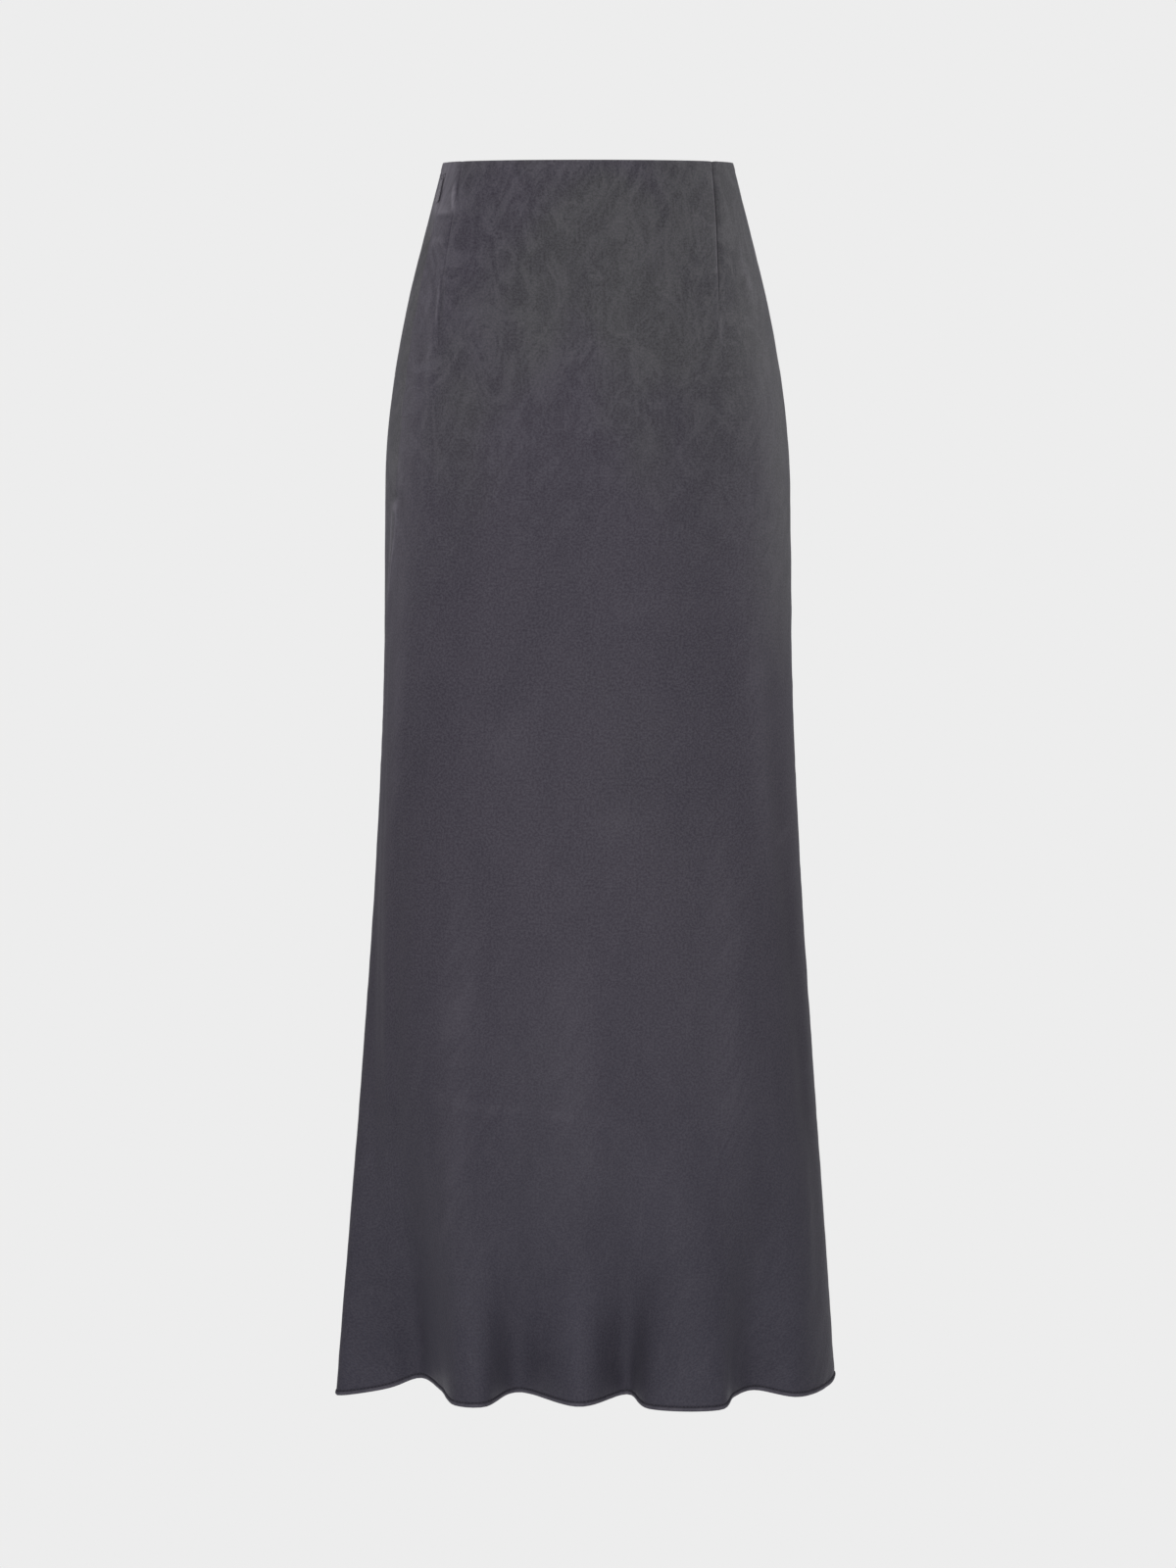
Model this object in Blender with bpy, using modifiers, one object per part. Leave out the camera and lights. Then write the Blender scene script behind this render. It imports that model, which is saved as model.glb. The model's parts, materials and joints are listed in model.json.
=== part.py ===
"""A long satin slip skirt that hangs filled out from its waist, with a concealed side zip.

Metres, +Z up. The origin is the centre of the waist opening, the front faces -Y, and +X is on the right as
the front is seen. The skirt is two panels, each with two darts and a narrow turned hem, and a zip in the -X
seam.
"""
import math
from collections import namedtuple
from functools import lru_cache

import bmesh
import bpy
import numpy as np
from mathutils import Matrix, Vector

# ------------------------------------------------------------------ driving sizes
LENGTH = 1.005           # waist edge to hem at the sides
CLOTH = 0.0012           # wall of a panel
GAP = 0.0003             # between pieces that touch
SQUARENESS = 2.25        # exponent of the oval sections, 2 for an ellipse
FRONT_DIP = 0.0112       # the waist edge is cut lower at the centre front
BACK_DIP = 0.0060
FLUTES_POWER = 1.4       # how a flute deepens from its start to the hem

SEAM_COLUMNS = (0.004, 0.011)    # narrow columns beside each side seam, from the seam
COLUMNS_SIDE = 7         # facets from there to a dart
COLUMNS_MIDDLE = 28      # facets between the two darts
DART_COLUMNS = (len(SEAM_COLUMNS) + COLUMNS_SIDE + 1, len(SEAM_COLUMNS) + COLUMNS_SIDE + COLUMNS_MIDDLE + 3)
COLUMNS = sum(DART_COLUMNS)
ROWS = 20
ROW_POWER = 1.12         # rows lie closer together at the waist
FIRST_ROW = 0.022        # a row just below the zip's slider
DART_DEPTH = 0.0012
DART_HALF_WIDTH = 0.004

HEM_HEIGHT = 0.0050      # the turned-in hem
HEM_THICKNESS = 0.0010
HEM_SHORTER = 0.0012     # each end of it stops this far before the side seam

ZIP_TOP = 0.003          # drops below the waist edge
ZIP_END = 0.278
TAPE_ROWS = 7            # the tape runs down this many rows of the panel's facets
TAPE_THICKNESS = 0.0010
TAPE_INSET = 0.0012      # from the middle of the seam to the tape's edge
CHAIN_WIDTH = 0.0044
CHAIN_THICKNESS = 0.0018
PARTED = 0.0018          # the seam's edges part this far round the slider
PARTED_TO = FIRST_ROW
CLOSED_FROM = 0.036

SLIDER_DROP = 0.0120     # the pull's hinge, below the waist edge
SLIDER_BODY = (0.0028, 0.0070, 0.0090)    # thickness, width, height
SLIDER_BODY_OUT = -0.0024                 # its outer face, from the middle of the cloth
NECK_THICKNESS = 0.0010
BRIDGE_WINDOW = 0.0024   # square hole that the pull's bar turns in
BRIDGE_WALL = 0.0010
HINGE_OUT = 0.0017       # the hinge, out from the middle of the cloth
STOP_SIZE = (0.0024, 0.0056, 0.0045)

PULL_LENGTH = 0.022      # hinge to tip
PULL_THICKNESS = 0.0012
PULL_TOP_WIDTH = 0.0034
PULL_TIP_WIDTH = 0.0060
PULL_SLOT_WIDTH = 0.0016
PULL_SLOT_END = 0.0037   # from the hinge
PULL_REST_CLEARANCE = 0.00035

# ------------------------------------------------------------------ tables
# The oval that the skirt fills at each drop below the waist. seam_forward is how far the -X seam lies in
# front of the oval's side.
Section = namedtuple("Section", "drop half_width front back seam_forward")
SECTIONS = [
    Section(0.000, 0.1180, 0.0840, 0.0800, 0.028),
    Section(0.065, 0.1342, 0.0920, 0.0935, 0.034),
    Section(0.130, 0.1492, 0.0985, 0.1075, 0.040),
    Section(0.225, 0.1627, 0.1040, 0.1205, 0.045),
    Section(0.315, 0.1653, 0.1060, 0.1240, 0.037),
    Section(0.415, 0.1662, 0.1060, 0.1230, 0.012),
    Section(0.560, 0.1722, 0.1060, 0.1205, 0.000),
    Section(0.745, 0.1845, 0.1070, 0.1200, 0.000),
    Section(0.880, 0.1945, 0.1080, 0.1200, 0.000),
    Section(1.005, 0.2035, 0.1090, 0.1210, 0.000),
]

# The hem seen from above, one row for each lobe, hollow or wall of its flutes. lift is how far the hem rises
# there, and start is the drop at which the flute starts.
Fold = namedtuple("Fold", "name x y lift start")
HEM = [
    Fold("zip_seam", -0.2034, 0.0230, 0.002, 0.45),
    Fold("corner_1", -0.2038, -0.0020, 0.000, 0.45),
    Fold("side_flat", -0.1620, -0.0010, 0.006, 0.42),
    Fold("hollow_1", -0.1385, 0.0060, 0.013, 0.45),
    Fold("wall_1", -0.1185, -0.0370, 0.010, 0.58),
    Fold("lobe_1_left", -0.1040, -0.0890, 0.006, 0.62),
    Fold("lobe_1_right", -0.0830, -0.0950, 0.006, 0.66),
    Fold("hollow_2", -0.0567, -0.0460, 0.010, 0.70),
    Fold("lobe_2", -0.0062, -0.0920, 0.006, 0.72),
    Fold("hollow_3", 0.0314, -0.0555, 0.010, 0.68),
    Fold("lobe_3_left", 0.0490, -0.1035, 0.006, 0.62),
    Fold("lobe_3_right", 0.1045, -0.1070, 0.006, 0.60),
    Fold("wall_4", 0.1160, -0.0700, 0.010, 0.55),
    Fold("hollow_4", 0.1330, -0.0480, 0.012, 0.50),
    Fold("lobe_4", 0.1670, -0.0460, 0.006, 0.45),
    Fold("turn_4", 0.1970, 0.0060, 0.007, 0.45),
    Fold("plain_seam", 0.2038, 0.0400, 0.010, 0.45),
    Fold("lobe_5_left", 0.1960, 0.0920, 0.004, 0.50),
    Fold("lobe_5_right", 0.1740, 0.1040, 0.004, 0.50),
    Fold("hollow_5", 0.1420, 0.0700, 0.010, 0.60),
    Fold("lobe_6_left", 0.1120, 0.1270, 0.004, 0.62),
    Fold("lobe_6_right", 0.0760, 0.1340, 0.004, 0.66),
    Fold("hollow_6", 0.0430, 0.0840, 0.010, 0.66),
    Fold("lobe_7_left", 0.0020, 0.1330, 0.004, 0.64),
    Fold("lobe_7_right", -0.0280, 0.1350, 0.004, 0.62),
    Fold("hollow_7", -0.0700, 0.0900, 0.010, 0.60),
    Fold("lobe_8", -0.1140, 0.1290, 0.004, 0.58),
    Fold("hollow_8", -0.1530, 0.0800, 0.010, 0.52),
    Fold("lobe_9", -0.1930, 0.0740, 0.004, 0.45),
]

# Each panel's two darts, from its -X side: x at the waist edge, x and the drop at the dart's tip, and the
# fraction of the hem that the columns below it run on to.
Dart = namedtuple("Dart", "waist_x tip_x tip_drop hem_fraction")
DARTS = {
    "front": (Dart(-0.1030, -0.1210, 0.132, 0.20), Dart(0.1000, 0.1035, 0.138, 0.80)),
    "back": (Dart(-0.0600, -0.0680, 0.140, 0.22), Dart(0.0600, 0.0680, 0.140, 0.78)),
}

CLOTH_COLOUR = (0.072, 0.066, 0.081)
TAPE_COLOUR = (0.045, 0.042, 0.050)
CHAIN_COLOUR = (0.035, 0.033, 0.038)
METAL_COLOUR = (0.060, 0.056, 0.066)

SECTION_SAMPLES = 360
FOLD_SAMPLES = 24


# ------------------------------------------------------------------ the skirt's form
def smooth_step(value, low, high):
    """0 below low, 1 above high, smooth between."""
    t = min(max((value - low) / (high - low), 0.0), 1.0)
    return t * t * (3.0 - 2.0 * t)


def eased(t, start, end, start_slope, end_slope):
    """A cubic from start at t = 0 to end at t = 1, with these slopes there."""
    return (
        (1 + 2 * t) * (1 - t) ** 2 * start
        + t * (1 - t) ** 2 * start_slope
        + t * t * (3 - 2 * t) * end
        - t * t * (1 - t) * end_slope
    )


def section_size(column, drop):
    """A column of the section table at any drop, on a smooth curve through its rows."""
    drops = [row.drop for row in SECTIONS]
    values = [getattr(row, column) for row in SECTIONS]
    slopes = np.gradient(values, drops)
    k = min(max(np.searchsorted(drops, drop) - 1, 0), len(drops) - 2)
    span = drops[k + 1] - drops[k]
    share = (drop - drops[k]) / span
    return float(eased(share, values[k], values[k + 1], slopes[k] * span, slopes[k + 1] * span))


def along(points):
    """The fraction of a polyline's length at each of its points."""
    steps = np.linalg.norm(np.diff(points[:, :2], axis=0), axis=1)
    length = np.concatenate([[0.0], np.cumsum(steps)])
    return length / length[-1], float(length[-1])


@lru_cache(maxsize=None)
def section_outline(panel, drop):
    """One panel's part of the oval at a drop, from its -X seam to its +X seam, as points and fractions."""
    half_width = section_size("half_width", drop)
    depth = section_size(panel, drop)
    front = section_size("front", drop)
    forward = max(section_size("seam_forward", drop), 0.0)
    power = 2.0 / SQUARENESS
    start = math.asin((forward / front) ** (1.0 / power))
    if panel == "front":
        turns = np.linspace(start, math.pi, SECTION_SAMPLES)
        y = -depth * np.abs(np.sin(turns)) ** power
    else:
        turns = np.linspace(-start, math.pi, SECTION_SAMPLES)
        y = np.where(turns < 0.0, -front, depth) * np.abs(np.sin(turns)) ** power
    x = -half_width * np.sign(np.cos(turns)) * np.abs(np.cos(turns)) ** power
    points = np.column_stack([x, y])
    return points, *along(points)


@lru_cache(maxsize=None)
def hem_outline(panel):
    """One panel's hem from above, from its -X to its +X seam, smooth through the rows of the hem table."""
    rows = np.array([fold[1:] for fold in HEM])
    count = len(rows)
    names = [fold.name for fold in HEM]
    turn = names.index("plain_seam")
    knots = np.sqrt(np.linalg.norm(np.roll(rows, -1, axis=0)[:, :2] - rows[:, :2], axis=1))
    slopes = []
    for k in range(count):
        before, after = knots[k - 1], knots[k]
        back = (rows[k] - rows[k - 1]) / before
        ahead = (rows[(k + 1) % count] - rows[k]) / after
        slopes.append((back * after + ahead * before) / (before + after))
    spans = range(0, turn) if panel == "front" else range(turn, count)
    points = []
    for k in spans:
        after = (k + 1) % count
        for step in range(FOLD_SAMPLES + (k == spans[-1])):
            start_slope, end_slope = knots[k] * slopes[k], knots[k] * slopes[after]
            points.append(eased(step / FOLD_SAMPLES, rows[k], rows[after], start_slope, end_slope))
    points = np.array(points)
    if panel == "back":
        points = points[::-1]
    return points, *along(points)


def read(outline, fraction):
    """The point at a fraction of an outline's length."""
    points, fractions, _ = outline
    return np.array([np.interp(fraction, fractions, points[:, k]) for k in range(points.shape[1])])


def flute_growth(drop, start):
    """0 above a flute's start, 1 at the hem."""
    return (max(drop - start, 0.0) / (LENGTH - start)) ** FLUTES_POWER


def surface(panel, fraction, drop):
    """A point in the middle of a panel's cloth. fraction runs from its -X seam to its +X seam."""
    oval = read(section_outline(panel, drop), fraction)
    oval_at_hem = read(section_outline(panel, LENGTH), fraction)
    hem_x, hem_y, lift, start = read(hem_outline(panel), fraction)
    x, y = oval + flute_growth(drop, start) * (np.array([hem_x, hem_y]) - oval_at_hem)
    top = waist_height(read(section_outline(panel, 0.0), fraction)[1])
    bottom = -LENGTH + lift
    return Vector((x, y, top + (bottom - top) * drop / LENGTH))


def waist_height(y):
    """The waist edge is cut level at the sides, and lower towards the centre front and the centre back."""
    waist = SECTIONS[0]
    return FRONT_DIP * y / waist.front if y < 0.0 else -BACK_DIP * y / waist.back


def outward(panel, fraction, drop):
    """The unit normal of a panel, pointing away from the wearer."""
    step = 0.002
    left, right = max(fraction - step, 0.0), min(fraction + step, 1.0)
    above, below = max(drop - step, 0.0), min(drop + step, LENGTH)
    across = surface(panel, right, drop) - surface(panel, left, drop)
    down = surface(panel, fraction, below) - surface(panel, fraction, above)
    normal = down.cross(across) if panel == "front" else across.cross(down)
    return normal.normalized()


@lru_cache(maxsize=None)
def panel_width(panel, drop):
    """The length of cloth across a panel at a drop."""
    fractions = np.linspace(0.0, 1.0, 121)
    points = [surface(panel, fraction, drop) for fraction in fractions]
    return sum((b - a).length for a, b in zip(points, points[1:]))


def dart_fraction(panel, dart, drop):
    """Where the column on a dart's line lies at a drop."""
    waist = fraction_at_x(panel, dart.waist_x, 0.0)
    tip = fraction_at_x(panel, dart.tip_x, dart.tip_drop)
    if drop <= dart.tip_drop:
        return waist + (tip - waist) * drop / dart.tip_drop
    return tip + (dart.hem_fraction - tip) * smooth_step(drop, dart.tip_drop, LENGTH)


@lru_cache(maxsize=None)
def fraction_at_x(panel, x, drop):
    points, fractions, _ = section_outline(panel, drop)
    return float(np.interp(x, points[:, 0], fractions))


def column_fractions(panel, drop):
    """The columns of a panel's facets at a drop: even from seam to dart, with a pair beside each dart."""
    first, second = (dart_fraction(panel, dart, drop) for dart in DARTS[panel])
    width = panel_width(panel, drop)
    beside = DART_HALF_WIDTH / width
    seam = np.array(SEAM_COLUMNS) / width
    return np.concatenate([
        [0.0, *seam[:-1]],
        np.linspace(seam[-1], first - beside, COLUMNS_SIDE + 1),
        [first],
        np.linspace(first + beside, second - beside, COLUMNS_MIDDLE + 1),
        [second],
        np.linspace(second + beside, 1.0 - seam[-1], COLUMNS_SIDE + 1),
        [*(1.0 - seam[:-1])[::-1], 1.0],
    ])


def row_drop(row):
    """The rows close up towards the waist edge, and the last one but one is the top of the turned hem."""
    ends = {0: 0.0, 1: FIRST_ROW, ROWS: LENGTH}
    return ends.get(row, (LENGTH - HEM_HEIGHT) * (max(row - 1, 0) / (ROWS - 2)) ** ROW_POWER)


def seam_inset(drop, on_zip_side):
    """Half the space between the two panels at a side seam. The zip side parts round the slider."""
    closed = GAP / 2
    if not on_zip_side:
        return closed
    return closed + (PARTED / 2 - closed) * (1.0 - smooth_step(drop, PARTED_TO, CLOSED_FROM))


def dart_groove(panel, column, drop):
    """How far a dart draws its own column inward."""
    if column not in DART_COLUMNS:
        return 0.0
    dart = DARTS[panel][DART_COLUMNS.index(column)]
    return DART_DEPTH * (1.0 - smooth_step(drop, 0.0, dart.tip_drop))


@lru_cache(maxsize=None)
def panel_point(panel, column, row):
    """A corner of a panel's facets, in the middle of its cloth, kept clear of the two side seams."""
    drop = row_drop(row)
    width = panel_width(panel, drop)
    low = seam_inset(drop, True) / width
    high = 1.0 - seam_inset(drop, False) / width
    fraction = low + (high - low) * column_fractions(panel, drop)[column]
    point = surface(panel, fraction, drop)
    depth = dart_groove(panel, column, drop)
    return point - outward(panel, fraction, drop) * depth if depth else point


def moved_towards(start, end, distance):
    return start + (end - start).normalized() * distance


# ------------------------------------------------------------------ building
def material(name, colour, roughness, metallic=0.0):
    made = bpy.data.materials.new(name)
    made.use_nodes = True
    shader = made.node_tree.nodes["Principled BSDF"]
    shader.inputs["Base Color"].default_value = (*colour, 1.0)
    shader.inputs["Roughness"].default_value = roughness
    shader.inputs["Metallic"].default_value = metallic
    made.diffuse_color = (*colour, 1.0)
    return made


def add_object(name, mesh, collection, finish):
    made = bpy.data.objects.new(name, mesh)
    mesh.materials.append(finish)
    collection.objects.link(made)
    return made


def cloth_grid(name, columns, rows, place, thickness, middle, collection, finish, turned_over=False):
    """A wall of cloth on a grid whose vertices place(column, row) puts.

    The wall's middle lies this far inside the grid. The back panel's columns run the other way round the
    skirt, so what is made on it is turned over.
    """
    grid = bmesh.new()
    bmesh.ops.create_grid(grid, x_segments=columns, y_segments=rows, size=1.0)
    for vertex in grid.verts:
        column = round((vertex.co.x + 1.0) / 2.0 * columns)
        row = round((1.0 - vertex.co.y) / 2.0 * rows)
        vertex.co = place(column, row)
    bmesh.ops.triangulate(grid, faces=grid.faces[:])
    mesh = bpy.data.meshes.new(name)
    grid.to_mesh(mesh)
    grid.free()
    mesh.shade_smooth()
    if turned_over:
        mesh.flip_normals()
    made = add_object(name, mesh, collection, finish)
    wall = made.modifiers.new("wall", "SOLIDIFY")
    wall.thickness = thickness
    wall.offset = -2.0 * middle / thickness
    return made


def make_panel(panel, collection, finish):
    """A panel, from the waist edge to the hem's fold."""

    def place(column, row):
        return panel_point(panel, column, row)

    cloth_grid(f"{panel}_panel", COLUMNS, ROWS, place, CLOTH, 0.0, collection, finish, panel == "back")


def make_hem(panel, collection, finish):
    """The narrow hem, turned to the inside along the panel's lowest row of facets."""

    def place(column, row):
        point = panel_point(panel, column, ROWS - 1 + row)
        if column in (0, COLUMNS):
            inner = panel_point(panel, abs(column - 1), ROWS - 1 + row)
            return moved_towards(point, inner, HEM_SHORTER)
        return point

    name = f"{panel}_hem"
    middle = CLOTH / 2 + GAP + HEM_THICKNESS / 2
    cloth_grid(name, COLUMNS, 1, place, HEM_THICKNESS, middle, collection, finish, panel == "back")


def make_tape(panel, collection, finish):
    """One zip tape, on the inside of a panel's narrow columns beside the -X seam."""

    def across(column, row):
        if column:
            return panel_point(panel, column, row)
        drop = row_drop(row)
        inset = TAPE_INSET - seam_inset(drop, True)
        return moved_towards(panel_point(panel, 0, row), panel_point(panel, 1, row), inset)

    def place(column, row):
        if row:
            return across(column, row)
        return moved_towards(across(column, 0), across(column, 1), ZIP_TOP)

    name = f"zip_tape_{panel}"
    columns = len(SEAM_COLUMNS)
    middle = CLOTH / 2 + GAP + TAPE_THICKNESS / 2
    cloth_grid(name, columns, TAPE_ROWS, place, TAPE_THICKNESS, middle, collection, finish, panel == "back")


def seam_frame(drop):
    """The -X seam at a drop: its point, and unit vectors outward, forward along the cloth, and down it."""
    row = next(row for row in range(ROWS) if drop <= row_drop(row + 1))
    share = (drop - row_drop(row)) / (row_drop(row + 1) - row_drop(row))

    def seen(panel, column):
        return panel_point(panel, column, row).lerp(panel_point(panel, column, row + 1), share)

    point = seen("front", 0).lerp(seen("back", 0), 0.5)
    down = panel_point("front", 0, row + 1) - panel_point("front", 0, row)
    out = down.cross(seen("front", 1) - seen("back", 1)).normalized()
    down.normalize()
    return point, out, out.cross(down), down


def make_chain(collection, finish):
    """The closed chain of the zip, inside the tapes, from the slider to the stop."""
    start = SLIDER_DROP + SLIDER_BODY[2] / 2 + GAP
    inner_rows = [row_drop(row) for row in range(ROWS) if start < row_drop(row) < ZIP_END]
    drops = [start, *inner_rows, ZIP_END]
    middle = CLOTH / 2 + GAP + TAPE_THICKNESS + GAP + CHAIN_THICKNESS / 2

    def place(column, row):
        point, _, forward, _ = seam_frame(drops[row])
        return point + forward * CHAIN_WIDTH * (column - 0.5)

    cloth_grid("zip_chain", 1, len(drops) - 1, place, CHAIN_THICKNESS, middle, collection, finish)


def frame_matrix(point, out, forward, down):
    """Local X is outward, local Y forward along the cloth, local Z up the seam."""
    turn = Matrix((out, forward, -down)).transposed()
    return Matrix.Translation(point) @ turn.to_4x4()


def block(name, size, centre):
    """A box as a mesh, in the seam's own frame."""
    shape = bmesh.new()
    bmesh.ops.create_cube(shape, size=1.0)
    bmesh.ops.scale(shape, vec=size, verts=shape.verts)
    bmesh.ops.translate(shape, vec=centre, verts=shape.verts)
    mesh = bpy.data.meshes.new(name)
    shape.to_mesh(mesh)
    shape.free()
    return mesh


def boolean(target, other, operation, cutters):
    cutters.objects.link(other)
    other.hide_render = True
    other.display_type = "WIRE"
    change = target.modifiers.new(operation.lower(), "BOOLEAN")
    change.operation = operation
    change.object = other


def make_slider(collection, cutters, finish):
    """The slider: its body inside the tapes, and a thin neck through the seam that carries the bridge."""
    place = frame_matrix(*seam_frame(SLIDER_DROP))
    thickness = SLIDER_BODY[0]
    body = block("zip_slider", SLIDER_BODY, (SLIDER_BODY_OUT - thickness / 2, 0, 0))
    made = add_object("zip_slider", body, collection, finish)
    made.matrix_world = place
    rounding = made.modifiers.new("rounding", "BEVEL")
    rounding.width = 0.0008
    rounding.segments = 2

    inner = SLIDER_BODY_OUT - thickness / 2
    outer = HINGE_OUT + BRIDGE_WINDOW / 2 + BRIDGE_WALL
    height = BRIDGE_WINDOW + 2 * BRIDGE_WALL
    neck = block("slider_neck", (outer - inner, NECK_THICKNESS, height), ((outer + inner) / 2, 0, 0))
    neck_object = bpy.data.objects.new("slider_neck", neck)
    neck_object.matrix_world = place
    boolean(made, neck_object, "UNION", cutters)
    window = block("slider_window", (BRIDGE_WINDOW, 2 * NECK_THICKNESS, BRIDGE_WINDOW), (HINGE_OUT, 0, 0))
    window_object = bpy.data.objects.new("slider_window", window)
    window_object.matrix_world = place
    boolean(made, window_object, "DIFFERENCE", cutters)


def make_stop(collection, finish):
    """The bottom stop, clamped below the last teeth of the chain."""
    drop = ZIP_END + GAP + STOP_SIZE[2] / 2
    inward = CLOTH / 2 + GAP + TAPE_THICKNESS + GAP + STOP_SIZE[0] / 2
    made = add_object("zip_stop", block("zip_stop", STOP_SIZE, (-inward, 0, 0)), collection, finish)
    made.matrix_world = frame_matrix(*seam_frame(drop))
    rounding = made.modifiers.new("rounding", "BEVEL")
    rounding.width = 0.0006
    rounding.segments = 2


def hinge_frame():
    """The pull's hinge in the bridge's window, and its rest pose against the cloth below it."""
    point, out, forward, _ = seam_frame(SLIDER_DROP)
    hinge = point + out * HINGE_OUT
    below, below_out, _, _ = seam_frame(SLIDER_DROP + PULL_LENGTH)
    rest = below + below_out * (CLOTH / 2 + PULL_REST_CLEARANCE + PULL_THICKNESS / 2)
    down = rest - hinge
    down = (down - forward * down.dot(forward)).normalized()
    return hinge, forward.cross(-down), forward, down


def make_pull(collection, cutters, finish):
    """The drop-shaped pull tab. Its bar turns in the bridge's window, and its slot clears the bridge."""
    place = frame_matrix(*hinge_frame())
    top = PULL_THICKNESS / 2
    tip_radius = PULL_TIP_WIDTH / 2
    outline = [(-PULL_TOP_WIDTH / 2, top), (PULL_TOP_WIDTH / 2, top)]
    tip_centre = -PULL_LENGTH + tip_radius
    for step in range(13):
        turn = -math.pi * step / 12
        outline.append((tip_radius * math.cos(turn), tip_centre + tip_radius * math.sin(turn)))
    shape = bmesh.new()
    corners = [shape.verts.new((-PULL_THICKNESS / 2, across, up)) for across, up in outline]
    flat = shape.faces.new(corners)
    lifted = bmesh.ops.extrude_face_region(shape, geom=[flat])["geom"]
    moved = [item for item in lifted if isinstance(item, bmesh.types.BMVert)]
    bmesh.ops.translate(shape, vec=(PULL_THICKNESS, 0, 0), verts=moved)
    bmesh.ops.recalc_face_normals(shape, faces=shape.faces)
    mesh = bpy.data.meshes.new("zip_pull")
    shape.to_mesh(mesh)
    shape.free()
    made = add_object("zip_pull", mesh, collection, finish)
    made.matrix_world = place

    slot_top = -PULL_THICKNESS / 2
    slot_height = PULL_SLOT_END + slot_top
    slot_centre = (slot_top - PULL_SLOT_END) / 2
    slot = block("pull_slot", (2 * PULL_THICKNESS, PULL_SLOT_WIDTH, slot_height), (0, 0, slot_centre))
    slot_object = bpy.data.objects.new("pull_slot", slot)
    slot_object.matrix_world = place
    boolean(made, slot_object, "DIFFERENCE", cutters)


def new_collection(name):
    made = bpy.data.collections.new(name)
    bpy.context.scene.collection.children.link(made)
    return made


def main():
    for old in list(bpy.data.objects):
        bpy.data.objects.remove(old, do_unlink=True)
    parts = new_collection("slip_skirt")
    cutters = new_collection("cutters")
    for panel in ("front", "back"):
        make_panel(panel, parts, material(f"satin_{panel}", CLOTH_COLOUR, 0.45))
        make_hem(panel, parts, material(f"satin_hem_{panel}", CLOTH_COLOUR, 0.45))
        make_tape(panel, parts, material(f"zip_tape_{panel}", TAPE_COLOUR, 0.8))
    make_chain(parts, material("zip_chain", CHAIN_COLOUR, 0.4))
    make_slider(parts, cutters, material("zip_slider", METAL_COLOUR, 0.35, 0.4))
    make_stop(parts, material("zip_stop", METAL_COLOUR, 0.35, 0.4))
    make_pull(parts, cutters, material("zip_pull", METAL_COLOUR, 0.35, 0.4))


main()
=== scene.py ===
"""The looks of a long satin slip skirt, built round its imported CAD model.

Metres, +Z up, in the CAD model's frame: the origin is the centre of the waist opening, the front faces -Y
and +X is on the right as the front is seen. The panels repeat the CAD model's form at a fine pitch and add
what is sewn and creased into it. Drops are measured down from the waist edge.
"""
import json
import math
from collections import namedtuple
from functools import lru_cache

import bmesh
import bpy
import numpy as np
from mathutils import Matrix, Vector, noise


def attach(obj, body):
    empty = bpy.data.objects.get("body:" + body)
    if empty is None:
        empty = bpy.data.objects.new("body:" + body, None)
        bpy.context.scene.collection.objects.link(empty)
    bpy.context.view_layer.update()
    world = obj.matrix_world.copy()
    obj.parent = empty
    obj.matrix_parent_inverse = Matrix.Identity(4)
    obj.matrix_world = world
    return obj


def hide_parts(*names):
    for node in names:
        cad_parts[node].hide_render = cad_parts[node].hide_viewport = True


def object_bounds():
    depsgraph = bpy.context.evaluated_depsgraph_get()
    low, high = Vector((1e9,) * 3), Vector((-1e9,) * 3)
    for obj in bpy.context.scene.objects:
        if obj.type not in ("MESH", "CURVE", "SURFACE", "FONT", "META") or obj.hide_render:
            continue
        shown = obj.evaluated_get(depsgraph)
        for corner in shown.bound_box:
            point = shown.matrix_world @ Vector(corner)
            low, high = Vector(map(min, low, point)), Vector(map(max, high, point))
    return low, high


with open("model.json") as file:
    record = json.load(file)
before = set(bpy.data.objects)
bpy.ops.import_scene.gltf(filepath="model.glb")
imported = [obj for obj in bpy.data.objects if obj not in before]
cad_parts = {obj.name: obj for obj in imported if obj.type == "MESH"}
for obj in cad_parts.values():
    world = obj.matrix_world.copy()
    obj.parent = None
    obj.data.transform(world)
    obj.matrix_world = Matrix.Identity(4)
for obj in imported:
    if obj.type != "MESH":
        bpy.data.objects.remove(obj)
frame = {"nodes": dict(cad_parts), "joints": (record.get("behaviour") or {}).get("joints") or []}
cad_box = [list(corner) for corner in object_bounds()]

# ------------------------------------------------------------------ sizes that the CAD model has too
LENGTH = 1.005           # waist edge to hem at the sides
SQUARENESS = 2.25        # exponent of the oval sections
FRONT_DIP = 0.0112       # the waist edge is cut lower at the centre front
BACK_DIP = 0.0060
FLUTES_POWER = 1.4
CHAIN_GAP = 0.0003       # between the slider and the first tooth
ZIP_TOP = 0.003
ZIP_END = 0.278
PARTED = 0.0018
SLIDER_DROP = 0.0120
SLIDER_BODY = (0.0028, 0.0070, 0.0090)
SLIDER_OUT = -0.0024     # the slider's outer face, from the middle of the cloth
SLIDER_PLATE = 0.00075
NECK_THICKNESS = 0.0010
BRIDGE_WINDOW = 0.0024
BRIDGE_WALL = 0.0010
HINGE_OUT = 0.0017
PULL_THICKNESS = 0.0012
PULL_SLOT_WIDTH = 0.0016
PULL_SLOT_END = 0.0037
PULL_LENGTH = 0.022
PULL_TOP_WIDTH = 0.0034
PULL_TIP_WIDTH = 0.0060
PULL_REST = 0.00155      # the resting pull's middle, out from the middle of the cloth

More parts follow.
